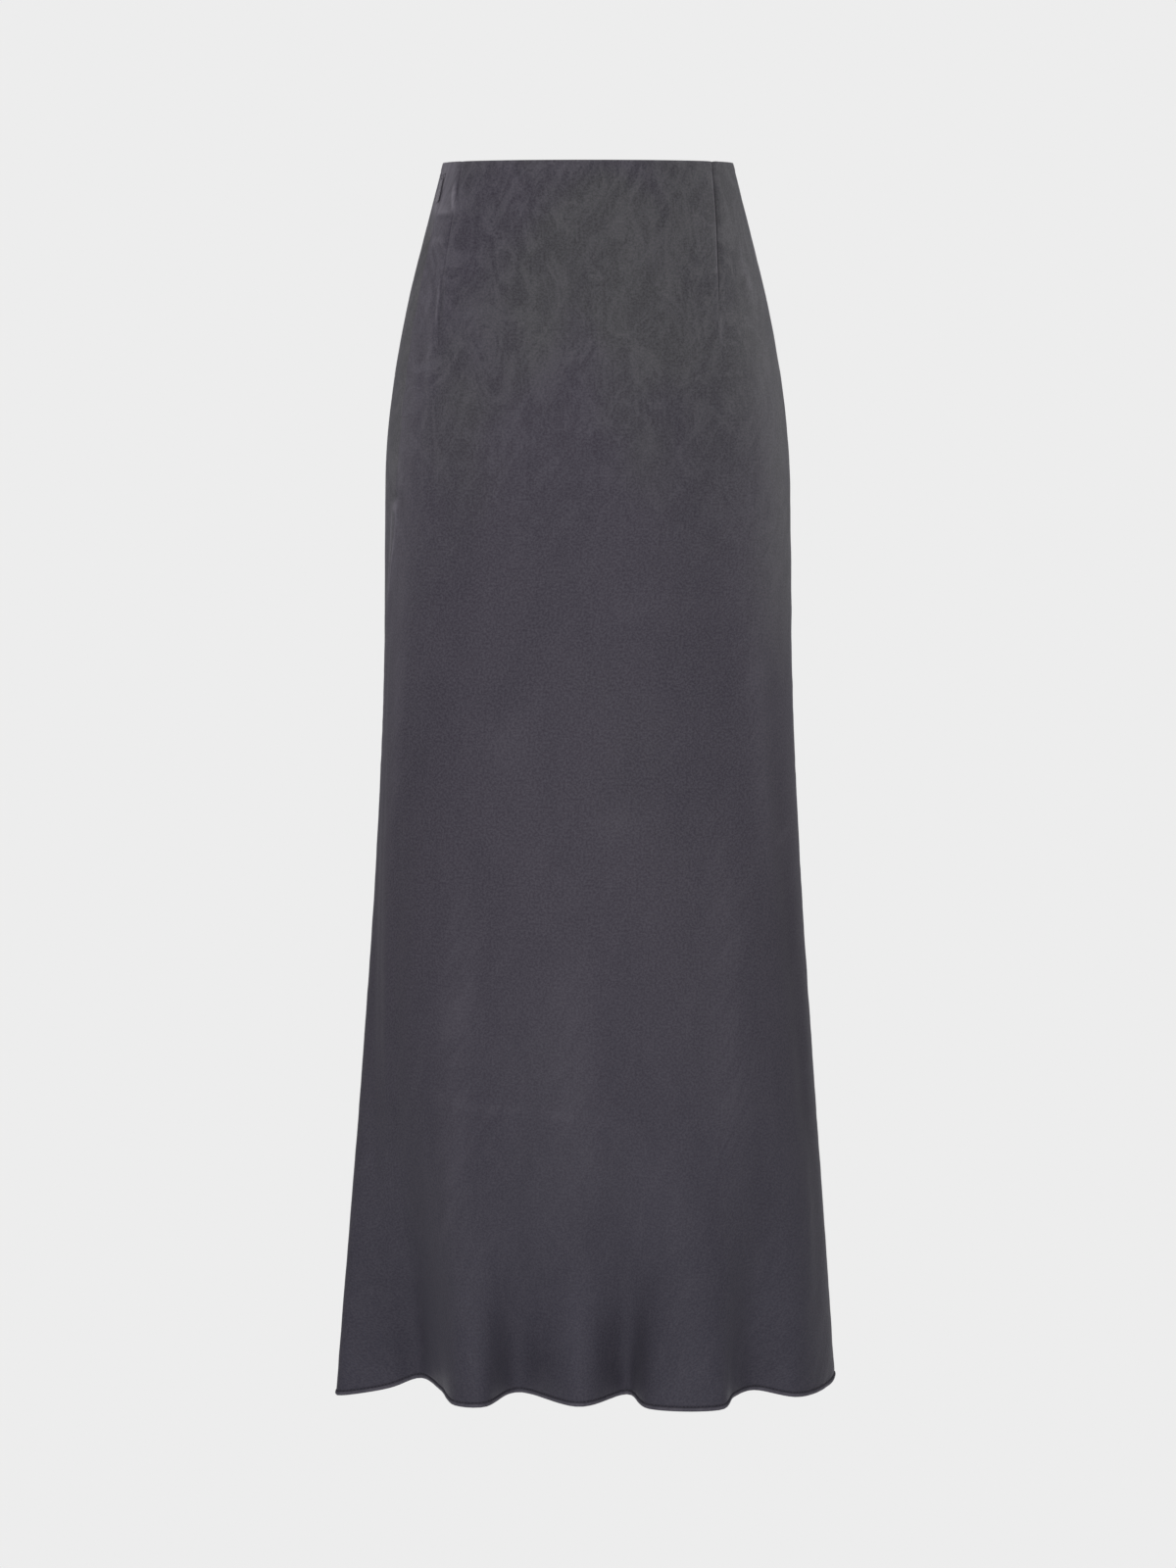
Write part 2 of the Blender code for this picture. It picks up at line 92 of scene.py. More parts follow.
# The oval that the skirt fills at each drop. seam_forward is how far the -X seam lies in front of its side.
Section = namedtuple("Section", "drop half_width front back seam_forward")
SECTIONS = [Section(*row) for row in (
    (0.0, 0.118, 0.084, 0.08, 0.028),
    (0.065, 0.1342, 0.092, 0.0935, 0.034),
    (0.13, 0.1492, 0.0985, 0.1075, 0.04),
    (0.225, 0.1627, 0.104, 0.1205, 0.045),
    (0.315, 0.1653, 0.106, 0.124, 0.037),
    (0.415, 0.1662, 0.106, 0.123, 0.012),
    (0.56, 0.1722, 0.106, 0.1205, 0.0),
    (0.745, 0.1845, 0.107, 0.12, 0.0),
    (0.88, 0.1945, 0.108, 0.12, 0.0),
    (1.005, 0.2035, 0.109, 0.121, 0.0),
)]

# The hem seen from above, one row for each lobe, hollow or wall of its flutes, in one round from the zip's
# seam to the plain seam and back: x, y, how far the hem rises there, and the drop where the flute starts.
HEM = {
    "front": (
        (-0.2034, 0.023, 0.002, 0.45),    # zip seam
        (-0.2038, -0.002, 0.0, 0.45),     # corner 1
        (-0.162, -0.001, 0.006, 0.42),    # side flat
        (-0.1385, 0.006, 0.013, 0.45),    # hollow 1
        (-0.1185, -0.037, 0.01, 0.58),    # wall 1
        (-0.104, -0.089, 0.006, 0.62),    # lobe 1 left
        (-0.083, -0.095, 0.006, 0.66),    # lobe 1 right
        (-0.0567, -0.046, 0.01, 0.7),     # hollow 2
        (-0.0062, -0.092, 0.006, 0.72),   # lobe 2
        (0.0314, -0.0555, 0.01, 0.68),    # hollow 3
        (0.049, -0.1035, 0.006, 0.62),    # lobe 3 left
        (0.1045, -0.107, 0.006, 0.6),     # lobe 3 right
        (0.116, -0.07, 0.01, 0.55),       # wall 4
        (0.133, -0.048, 0.012, 0.5),      # hollow 4
        (0.167, -0.046, 0.006, 0.45),     # lobe 4
        (0.197, 0.006, 0.007, 0.45),      # turn 4
    ),
    "back": (
        (0.2038, 0.04, 0.01, 0.45),       # plain seam
        (0.196, 0.092, 0.004, 0.5),       # lobe 5 left
        (0.174, 0.104, 0.004, 0.5),       # lobe 5 right
        (0.142, 0.07, 0.01, 0.6),         # hollow 5
        (0.112, 0.127, 0.004, 0.62),      # lobe 6 left
        (0.076, 0.134, 0.004, 0.66),      # lobe 6 right
        (0.043, 0.084, 0.01, 0.66),       # hollow 6
        (0.002, 0.133, 0.004, 0.64),      # lobe 7 left
        (-0.028, 0.135, 0.004, 0.62),     # lobe 7 right
        (-0.07, 0.09, 0.01, 0.6),         # hollow 7
        (-0.114, 0.129, 0.004, 0.58),     # lobe 8
        (-0.153, 0.08, 0.01, 0.52),       # hollow 8
        (-0.193, 0.074, 0.004, 0.45),     # lobe 9
    ),
}
FIRST_FLUTE = 0.45       # the drop where the flutes at the sides start

# Each panel's darts: x at the waist edge, x and the drop at the tip, the fraction of the hem below it, and
# how sharply it is drawn in.
Dart = namedtuple("Dart", "waist_x tip_x tip_drop hem_fraction sharpness")
DARTS = {
    "front": (Dart(-0.1012, -0.1212, 0.134, 0.20, 0.34), Dart(0.1000, 0.1035, 0.138, 0.80, 1.0)),
    "back": (Dart(-0.0600, -0.0680, 0.140, 0.22, 0.9), Dart(0.0600, 0.0680, 0.140, 0.78, 0.9)),
}

# ------------------------------------------------------------------ sizes of the fine work
LATE_FLUTES = 3.0        # the flutes that start lowest stay shallow for longest
SOFT_FLUTES = 0.26       # the flutes grow wider and softer with the height above the hem
SOFT_FROM_SEAMS = 0.10   # but not at the side seams
SOFTENING = ((-2.0, 0.06), (-1.4, 0.12), (-0.7, 0.20), (0.0, 0.24), (0.7, 0.20), (1.4, 0.12), (2.0, 0.06))
CLOTH = 0.00045          # the satin as it shows
EDGE_CLOTH = 0.0009      # where it is turned in, at the waist and the hem
TURNED_WAIST = 0.0065    # depth of the turning at the waist
SHARP_FOLD = 0.8         # height over width of a crease that is folded as sharply as the cloth allows
DART_DEPTH = 0.0026
DART_PRESSED = 0.0006
BESIDE_ON_LENGTH = 0.8   # the two panels are cut this far apart
SEAM_GAP = 0.00004       # the panels meet edge to edge where they are sewn
SEAM_DIP = 0.0004        # how far a panel's edge rolls inward at a side seam
SEAM_EDGE_HIGHLIGHT = 0.12   # how strong the painted highlight along the seams' edges is
PULL_SIDE_HIGHLIGHT = ((0.60, 0.036, 0.046), (0.24, 0.052, 0.064))   # beside the pull: how strong the painted highlight is, and where it fades
PULL_SIDE_HIGHLIGHT_WIDTH = 0.018
FOLD_SPREAD = 0.0046     # the folds below the zip's end start this far from the seam
FOLD_LENGTH = 0.088
HEM_STITCH_HEIGHT = 0.0034
HEM_ROLL = 0.0006        # the turned hem swells this far between its stitches and the fold
STITCH_PITCH = 0.0029
STITCH_LENGTH = 0.0024
THREAD = 0.00017         # radius of a stitch

NECK_REACH = 0.0024      # the seam is parted this far above and below the slider's neck
SEAM_REACH = 0.010       # how far beside a seam its direction is taken
TAPE_COLUMNS = (0.0012, 0.0016, 0.0022, 0.0038, 0.0062, 0.0086, 0.0098)   # distances from the seam
TAPE_END = 0.296
TAPE_THICKNESS = 0.0005
TAPE_BEHIND = 0.0013     # the tapes' middle, in from the middle of the cloth
CHAIN_BEHIND = 0.0027
TOOTH_PITCH = 0.00125
TOOTH_LENGTH = 0.0029
TOOTH_RADIUS = 0.00056
TOOTH_HEAD = 0.25        # how much thicker a tooth's hooked end is
TOOTH_SHIFT = 0.0007     # how far a tooth's middle lies towards its own tape
TOOTH_TOP = 0.00058      # from the middle of the chain to the thread that lies over it
STITCHED_AT = 0.0016     # how far the thread runs from the seam

SECTION_SAMPLES = 1200
FOLD_SAMPLES = 60
SIDE_COLUMNS = 26
MIDDLE_COLUMNS = 72
BESIDE_SEAM = (0.0, 0.0005, 0.0012, 0.0022, 0.0038, 0.0062, 0.0100)
BESIDE_DART = (0.0004, 0.0009, 0.0017, 0.0028, 0.0044, 0.0066)
ROWS = 256
WAIST_ROWS = (0.0, 0.0004, 0.0011, 0.0022, 0.0040)
SLIDER_ROWS = (-0.0062, -0.0045, -0.0037, -0.0030, -0.0024, 0.0, 0.0024, 0.0030, 0.0037, 0.0045, 0.0062)
HEM_ROWS = (0.0066, 0.0054, 0.0045, 0.0039, 0.0034, 0.0029, 0.0022, 0.0014, 0.0007, 0.0002, 0.0)

# The cloth's unevenness, one row for each kind: its height, and its size across the cloth and down it.
Uneven = namedtuple("Uneven", "height across_size drop_size")
DRAG_LINES = Uneven(0.00030, 0.0085, 0.110)
COCKLING = Uneven(0.00022, 0.030, 0.052)
BROAD_WAVES = Uneven(0.0012, 0.085, 0.190)
FINE_BUMPS = Uneven(0.00005, 0.012, 0.016)
HEM_GATHERS = (Uneven(0.00028, 0.010, 0.060), Uneven(0.00055, 0.028, 0.120))
SEAM_RIPPLE = Uneven(0.00028, 1.0, 0.0085)
SEAM_WAVE = Uneven(0.0003, 1.0, 0.021)
ZIP_WAVE = 3.0           # how many times higher that is along the zip

# Creases in the cloth. Each runs from one point to another, bends to its side by bend, and
# stands out by height, or sinks in where that is negative. width is half its breadth.
Crease = namedtuple("Crease", "x drop end_x end_drop width height bend")
CREASES = {
    "front": [
        # the long soft folds down the sides of the front
        (-0.128, 0.44, -0.168, 0.85, 0.019, -0.0016, 0.006),
        (-0.146, 0.33, -0.16, 0.56, 0.01, 0.0009, -0.003),
        (0.147, 0.43, 0.184, 0.96, 0.013, -0.0022, 0.004),
        (0.136, 0.36, 0.15, 0.6, 0.012, 0.0009, 0.003),
        (-0.098, 0.56, -0.104, 0.93, 0.016, 0.0012, 0.005),
        (0.1, 0.52, 0.116, 0.9, 0.018, 0.0011, -0.006),
        # where the flutes begin
        (0.018, 0.7, 0.032, 0.99, 0.012, -0.0006, 0.004),
        (-0.04, 0.74, -0.056, 0.99, 0.011, -0.0005, -0.003),
        (-0.012, 0.62, 0.004, 0.86, 0.02, 0.0008, 0.004),
        # over the resting pull and round the darts
        (-0.1062, 0.017, -0.1073, 0.042, 0.0019, 0.0016, 0.0014),
        (-0.1046, 0.019, -0.1044, 0.032, 0.0013, -0.0006, 0.0),
        (-0.114, 0.004, -0.1165, 0.02, 0.0026, 0.0016, 0.001),
        (-0.125, 0.046, -0.106, 0.0445, 0.0013, -0.0005, 0.0006),
        (-0.103, 0.0435, -0.09, 0.0405, 0.0018, -0.0003, 0.0),
        (-0.123, 0.0415, -0.107, 0.0395, 0.0026, 0.0008, 0.0),
        (-0.128, 0.067, -0.113, 0.063, 0.0034, 0.001, -0.001),
        (-0.13, 0.074, -0.116, 0.073, 0.0016, -0.0004, 0.0),
        (-0.1186, 0.096, -0.1217, 0.138, 0.001, 0.0004, 0.0004),
        (-0.116, 0.1, -0.12, 0.15, 0.0026, -0.0005, 0.0004),
        (-0.124, 0.11, -0.129, 0.2, 0.003, 0.0004, -0.001),
        (0.105, 0.128, 0.1065, 0.152, 0.0012, 0.0002, 0.0005),
        (0.114, 0.07, 0.132, 0.125, 0.0034, -0.0006, 0.003),
        (0.121, 0.066, 0.136, 0.115, 0.003, 0.0005, 0.003),
        # beside the pucker at the end of the zip
        (-0.149, 0.266, -0.146, 0.292, 0.003, -0.0004, 0.001),
        (-0.153, 0.235, -0.15, 0.27, 0.003, 0.0005, 0.0),
        # fold marks and small bends
        (-0.146, 0.752, 0.036, 0.772, 0.0045, 0.0002, 0.006),
        (0.15, 0.556, 0.162, 0.542, 0.004, 0.0007, 0.001),
        (0.02, 0.35, 0.05, 0.372, 0.012, 0.0005, 0.003),
        (-0.085, 0.455, -0.05, 0.5, 0.014, 0.0005, -0.004),
        (0.005, 0.52, 0.04, 0.545, 0.014, 0.0006, 0.003),
        (-0.03, 0.085, -0.01, 0.15, 0.011, 0.0004, 0.003),
        (0.04, 0.04, 0.06, 0.1, 0.012, 0.0004, -0.002),
    ],
    "back": [
        (-0.134, 0.42, -0.16, 0.88, 0.016, -0.0024, -0.005),
        (-0.12, 0.33, -0.126, 0.6, 0.013, 0.001, 0.004),
        (0.14, 0.4, 0.15, 0.93, 0.016, -0.0024, 0.005),
        (0.118, 0.35, 0.124, 0.64, 0.014, 0.001, -0.003),
        (0.03, 0.64, 0.044, 0.99, 0.014, -0.0014, 0.003),
        (-0.052, 0.6, -0.07, 0.98, 0.015, -0.0014, -0.004),
        (-0.008, 0.56, -0.014, 0.9, 0.018, 0.001, 0.004),
        (0.078, 0.58, 0.092, 0.92, 0.016, 0.001, -0.004),
        (-0.05, 0.15, -0.01, 0.168, 0.005, -0.0007, 0.006),
        (0.008, 0.172, 0.056, 0.15, 0.005, -0.0006, 0.006),
        (-0.04, 0.178, 0.03, 0.186, 0.0075, 0.0005, 0.006),
        (-0.068, 0.135, -0.072, 0.22, 0.0065, -0.0007, -0.001),
        (0.068, 0.135, 0.071, 0.215, 0.0065, -0.0007, 0.001),
        (-0.06, 0.285, 0.062, 0.3, 0.011, -0.0006, 0.012),
        (-0.11, 0.745, 0.09, 0.762, 0.0045, -0.0004, 0.004),
    ],
}


# ------------------------------------------------------------------ the skirt's form
def smooth_step(value, low, high):
    """0 below low, 1 above high, smooth between."""
    t = np.clip((value - low) / (high - low), 0.0, 1.0)
    return t * t * (3.0 - 2.0 * t)


def eased(t, start, end, start_slope, end_slope):
    """A cubic from start at t = 0 to end at t = 1, with these slopes there."""
    return (
        (1 + 2 * t) * (1 - t) ** 2 * start
        + t * (1 - t) ** 2 * start_slope
        + t * t * (3 - 2 * t) * end
        - t * t * (1 - t) * end_slope
    )


def section_size(column, drop):
    """A column of the section table at any drop, on a smooth curve through its rows."""
    drops = [row.drop for row in SECTIONS]
    values = [getattr(row, column) for row in SECTIONS]
    slopes = np.gradient(values, drops)
    k = min(max(np.searchsorted(drops, drop) - 1, 0), len(drops) - 2)
    span = drops[k + 1] - drops[k]
    share = (drop - drops[k]) / span
    return float(eased(share, values[k], values[k + 1], slopes[k] * span, slopes[k + 1] * span))


def along(points):
    """The fraction of a polyline's length at each of its points."""
    steps = np.linalg.norm(np.diff(points[:, :2], axis=0), axis=1)
    length = np.concatenate([[0.0], np.cumsum(steps)])
    return length / length[-1]


@lru_cache(maxsize=None)
def section_outline(panel, drop):
    """One panel's part of the oval at a drop, from its -X seam to its +X seam, as points and fractions."""
    half_width = section_size("half_width", drop)
    depth = section_size(panel, drop)
    front = section_size("front", drop)
    forward = max(section_size("seam_forward", drop), 0.0)
    power = 2.0 / SQUARENESS
    start = math.asin((forward / front) ** (1.0 / power))
    if panel == "front":
        turns = np.linspace(start, math.pi, SECTION_SAMPLES)
        y = -depth * np.abs(np.sin(turns)) ** power
    else:
        turns = np.linspace(-start, math.pi, SECTION_SAMPLES)
        y = np.where(turns < 0.0, -front, depth) * np.abs(np.sin(turns)) ** power
    x = -half_width * np.sign(np.cos(turns)) * np.abs(np.cos(turns)) ** power
    points = np.column_stack([x, y])
    return points, along(points)


@lru_cache(maxsize=None)
def hem_outline(panel):
    """One panel's hem from above, from its -X to its +X seam, smooth through the rows of the table."""
    rows = np.array(HEM["front"] + HEM["back"])
    count, turn = len(rows), len(HEM["front"])
    knots = np.sqrt(np.linalg.norm(np.roll(rows, -1, axis=0)[:, :2] - rows[:, :2], axis=1))
    slopes = []
    for k in range(count):
        before, after = knots[k - 1], knots[k]
        back = (rows[k] - rows[k - 1]) / before
        ahead = (rows[(k + 1) % count] - rows[k]) / after
        slopes.append((back * after + ahead * before) / (before + after))
    spans = range(0, turn) if panel == "front" else range(turn, count)
    points = []
    for k in spans:
        after = (k + 1) % count
        for step in range(FOLD_SAMPLES + (k == spans[-1])):
            start_slope, end_slope = knots[k] * slopes[k], knots[k] * slopes[after]
            points.append(eased(step / FOLD_SAMPLES, rows[k], rows[after], start_slope, end_slope))
    points = np.array(points)
    if panel == "back":
        points = points[::-1]
    return points, along(points)


def read(outline, fractions):
    """The points at these fractions of an outline's length."""
    points, lengths = outline
    return np.stack([np.interp(fractions, lengths, column) for column in points.T], axis=-1)


def waist_height(y):
    """The waist edge is cut level at the sides, and lower towards the centre front and the centre back."""
    waist = SECTIONS[0]
    return np.where(y < 0.0, FRONT_DIP * y / waist.front, -BACK_DIP * y / waist.back)


def flute_offset(panel, fractions, drop):
    """How far the flutes have moved each column away from the oval at a drop, seen from above."""
    hem_x, hem_y, _lift, start = read(hem_outline(panel), fractions).T
    power = FLUTES_POWER + LATE_FLUTES * np.maximum(start - FIRST_FLUTE, 0.0)
    growth = (np.maximum(drop - start, 0.0) / (LENGTH - start)) ** power
    oval_at_hem = read(section_outline(panel, LENGTH), fractions)
    return growth[:, None] * (np.stack([hem_x, hem_y], axis=-1) - oval_at_hem)


def form_row(panel, fractions, drop):
    """Points in the middle of a panel's cloth at one drop. Fractions run from its -X seam to its +X seam."""
    oval = read(section_outline(panel, drop), fractions)
    from_seams = np.minimum(fractions, 1.0 - fractions) / SOFT_FROM_SEAMS
    reach = SOFT_FLUTES * (LENGTH - drop) * np.minimum(from_seams, 1.0)
    offset = sum(share * flute_offset(panel, fractions + step * reach, drop) for step, share in SOFTENING)
    x, y = (oval + offset).T
    lift = read(hem_outline(panel), fractions)[:, 2]
    top = waist_height(read(section_outline(panel, 0.0), fractions)[:, 1])
    z = top + (-LENGTH + lift - top) * drop / LENGTH
    return np.stack([x, y, z], axis=-1)


@lru_cache(maxsize=None)
def panel_width(panel, drop):
    """The length of cloth across a panel at a drop."""
    points = form_row(panel, np.linspace(0.0, 1.0, 241), drop)
    return float(np.linalg.norm(np.diff(points, axis=0), axis=1).sum())


@lru_cache(maxsize=None)
def fraction_at_x(panel, x, drop):
    points, fractions = section_outline(panel, drop)
    return float(np.interp(x, points[:, 0], fractions))


def dart_fraction(panel, dart, drop):
    """Where the column on a dart's line lies at a drop."""
    waist = fraction_at_x(panel, dart.waist_x, 0.0)
    tip = fraction_at_x(panel, dart.tip_x, dart.tip_drop)
    if drop <= dart.tip_drop:
        return waist + (tip - waist) * drop / dart.tip_drop
    return tip + (dart.hem_fraction - tip) * smooth_step(drop, dart.tip_drop, LENGTH)


def seam_inset(drop, on_zip_side):
    """Half the space between the two panels at a side seam. The zip side parts round the slider."""
    closed = SEAM_GAP / 2
    if not on_zip_side:
        return closed
    near_neck = 1.0 - smooth_step(abs(drop - SLIDER_DROP), NECK_REACH, SLIDER_BODY[2] / 2)
    return closed + (PARTED / 2 - closed) * float(near_neck)


def column_fractions(panel, drop):
    """A panel's columns at a drop: close together beside each seam and dart, and even between them."""
    width = panel_width(panel, drop)
    first, second = (dart_fraction(panel, dart, drop) for dart in DARTS[panel])
    low = seam_inset(drop, True) / width
    high = 1.0 - seam_inset(drop, False) / width
    seam = np.array(BESIDE_SEAM) / width
    beside = np.array(BESIDE_DART) / width
    around = np.concatenate([-beside[::-1], [0.0], beside])
    left = np.linspace(low + seam[-1], first - beside[-1], SIDE_COLUMNS + 1)[1:-1]
    middle = np.linspace(first + beside[-1], second - beside[-1], MIDDLE_COLUMNS + 1)[1:-1]
    right = np.linspace(second + beside[-1], high - seam[-1], SIDE_COLUMNS + 1)[1:-1]
    parts = [low + seam, left, first + around, middle, second + around, right, high - seam[::-1]]
    return np.concatenate(parts)


def row_drops():
    """The drops of a panel's rows: close together in the turned waist, round the slider and in the hem."""
    at_slider = SLIDER_DROP + np.array(SLIDER_ROWS)
    between = np.linspace(at_slider[-1], LENGTH - HEM_ROWS[0], ROWS + 1)[1:-1]
    return np.concatenate([WAIST_ROWS, at_slider, between, LENGTH - np.array(HEM_ROWS)])


def outward(points, panel):
    """The unit normals of a grid of points on a panel, pointing away from the wearer."""
    across = np.gradient(points, axis=1)
    down = np.gradient(points, axis=0)
    normals = np.cross(down, across) if panel == "front" else np.cross(across, down)
    return normals / np.linalg.norm(normals, axis=2, keepdims=True)


# ------------------------------------------------------------------ relief of the cloth
def bell(distance, width):
    """1 at no distance, and next to nothing beyond twice the width."""
    return np.exp(-(distance / width) ** 2)


def crease_relief(panel, across, drop):
    """What the creases add, at points given by their distance across the panel and their drop.

    Returns their height, and a painted light from -1 to 1: a painted highlight on raised creases and painted
    shade in sunken ones, stronger the more sharply they are folded.
    """
    relief = np.zeros_like(across)
    marks = np.zeros_like(across)
    for crease in map(Crease._make, CREASES[panel]):
        start = np.array([across_at(panel, crease.x, crease.drop), crease.drop])
        end = np.array([across_at(panel, crease.end_x, crease.end_drop), crease.end_drop])
        length = np.linalg.norm(end - start)
        ahead = (end - start) / length
        x, y = across - start[0], drop - start[1]
        share = (x * ahead[0] + y * ahead[1]) / length
        side = x * -ahead[1] + y * ahead[0]
        inside = np.clip(share, 0.0, 1.0)
        side = side - crease.bend * 4.0 * inside * (1.0 - inside)
        fade = smooth_step(share, -0.12, 0.35) * (1.0 - smooth_step(share, 0.65, 1.12))
        shape = fade * bell(side, crease.width)
        relief += crease.height * shape
        # painted highlight on raised creases, painted shade in sunken ones
        marks += np.clip(crease.height / crease.width / SHARP_FOLD, -1.0, 1.0) * shape
    return relief, marks


def across_at(panel, x, drop):
    """The distance across a panel from its centre line to a place given by x on its smooth oval."""
    return (fraction_at_x(panel, x, drop) - 0.5) * panel_width(panel, drop)


def uneven(kind, across, drop, seed):
    """Smooth bumps and hollows of one kind all over the cloth."""
    places = zip((across / kind.across_size).ravel(), (drop / kind.drop_size).ravel())
    values = np.array([noise.noise((u, v, seed)) for u, v in places])
    return kind.height * values.reshape(across.shape)


def dart_relief(panel, across, drop):
    """Each dart's stitched line draws the cloth into a sharp valley, with one side of it a little proud; its
    painted light is painted shade down the valley and a painted highlight on the edge beside it.
    """
    relief = np.zeros_like(across)
    marks = np.zeros_like(across)
    drops = drop[:, 0]
    for dart in DARTS[panel]:
        line = np.array([(dart_fraction(panel, dart, d) - 0.5) * panel_width(panel, d) for d in drops])
        ends = smooth_step(drop, 0.50 * dart.tip_drop, 1.02 * dart.tip_drop)
        strength = dart.sharpness * (1.0 - ends)
        side = across - line[:, None]
        towards_seam = side * math.copysign(1.0, dart.waist_x)
        valley = 0.80 * np.exp(-np.abs(side) / 0.0007) + 0.20 * bell(side, 0.0050)
        pressed = bell(towards_seam - 0.0035, 0.0028)
        relief += strength * (DART_PRESSED * pressed - DART_DEPTH * valley)
        # painted highlight on the edge beside the valley, painted shade down the valley
        painted_edge_highlight = bell(towards_seam + 0.0016, 0.0009)
        marks += strength * (0.25 * painted_edge_highlight - 0.85 * bell(side, 0.0006))
    return relief, marks


def seam_relief(from_zip_seam, from_plain_seam, drop):
    """The panels' edges roll inward where they are sewn together, and the seams pucker a little.

    The zip side puckers most at the zip's end, and two small folds run down from there and meet at the seam.
    Its painted light: a painted highlight along the seams' edges, on the swelling and on the folds, painted
    shade in the dimple above the swelling, and a painted highlight beside the pull at the top of the zip.
    """
    relief = np.zeros_like(drop)
    marks = np.zeros_like(drop)
    for distance, on_zip_side in ((from_zip_seam, True), (from_plain_seam, False)):
        relief -= SEAM_DIP * bell(distance, 0.0013)
        zipped = (1.0 - smooth_step(drop, ZIP_END - 0.01, ZIP_END + 0.02)) * on_zip_side
        ripple = uneven(SEAM_RIPPLE, 0.0 * drop, drop, 3.0 + on_zip_side)
        wave = uneven(SEAM_WAVE, 0.0 * drop, drop, 7.0 + on_zip_side)
        relief += ripple * np.exp(-distance / 0.0060)
        relief += (1.0 + (ZIP_WAVE - 1.0) * zipped) * wave * bell(distance, 0.014)
        # painted highlight along the seam's edge
        marks += SEAM_EDGE_HIGHLIGHT * bell(distance, 0.0011)
    below_end = drop - ZIP_END
    swelling = bell(below_end - 0.003, 0.0042) * bell(from_zip_seam, 0.0058)
    dimple = bell(below_end + 0.007, 0.0032) * bell(from_zip_seam, 0.0050)
    fold_line = FOLD_SPREAD * (1.0 - below_end / FOLD_LENGTH)
    fold = smooth_step(below_end, 0.0, 0.012)
    fold = fold * (1.0 - smooth_step(below_end, 0.8 * FOLD_LENGTH, FOLD_LENGTH))
    fold = fold * bell(from_zip_seam - fold_line, 0.0010)
    relief += 0.0018 * swelling - 0.0010 * dimple + 0.0004 * fold
    # painted highlight on the swelling and the folds, painted shade in the dimple
    marks += 0.60 * swelling - 0.30 * dimple + 0.55 * fold
    # painted highlight beside the pull, fading down the seam
    for light, fade_start, fade_end in PULL_SIDE_HIGHLIGHT:
        marks += light * (1.0 - smooth_step(drop, fade_start, fade_end)) * bell(from_zip_seam, PULL_SIDE_HIGHLIGHT_WIDTH)
    return relief, marks


def edge_relief(drop):
    """The turned waist edge rounds over, and the turned hem swells below the groove of its stitches. Its
    painted light is a painted highlight on the rolled hem and along the waist edge, and painted shade in the
    stitch groove.
    """
    height = LENGTH - drop
    rolled = smooth_step(height, 0.0, 0.0010) * (1.0 - smooth_step(height, 0.0022, HEM_STITCH_HEIGHT))
    groove = bell(height - HEM_STITCH_HEIGHT, 0.0007)
    waist = 0.0004 * np.exp(-drop / 0.0008)
    turning = 0.00012 * (1.0 - smooth_step(drop, TURNED_WAIST - 0.001, TURNED_WAIST + 0.0012))
    relief = HEM_ROLL * rolled - 0.0008 * groove - waist + turning
    # painted highlight on the rolled hem and the waist edge, painted shade in the stitch groove
    return relief, 0.25 * rolled - 0.9 * groove + 0.3 * np.exp(-drop / 0.0010)


def hem_ripple(across, drop):
    """The stitching gathers the hem into small uneven ripples that die away above it."""
    fade = smooth_step(drop, LENGTH - 0.055, LENGTH - 0.004)
    return fade * sum(uneven(kind, across, drop, 21.0 + k) for k, kind in enumerate(HEM_GATHERS))


def drape_relief(panel, across, drop):
    """The cloth's own unevenness: drag lines that run down from the hips, and soft cockling all over."""
    seed = 11.0 if panel == "front" else 31.0
    hips = smooth_step(drop, 0.02, 0.12) * (1.0 - smooth_step(drop, 0.34, 0.60))
    side = smooth_step(np.abs(across), 0.055, 0.15)
    relief = uneven(DRAG_LINES, across, drop, seed) * hips * (0.35 + side)
    relief += uneven(COCKLING, across, drop, seed + 1.0)
    relief += uneven(BROAD_WAVES, across, drop, seed + 2.0) * hips
    return relief + uneven(FINE_BUMPS, across, drop, seed + 3.0)


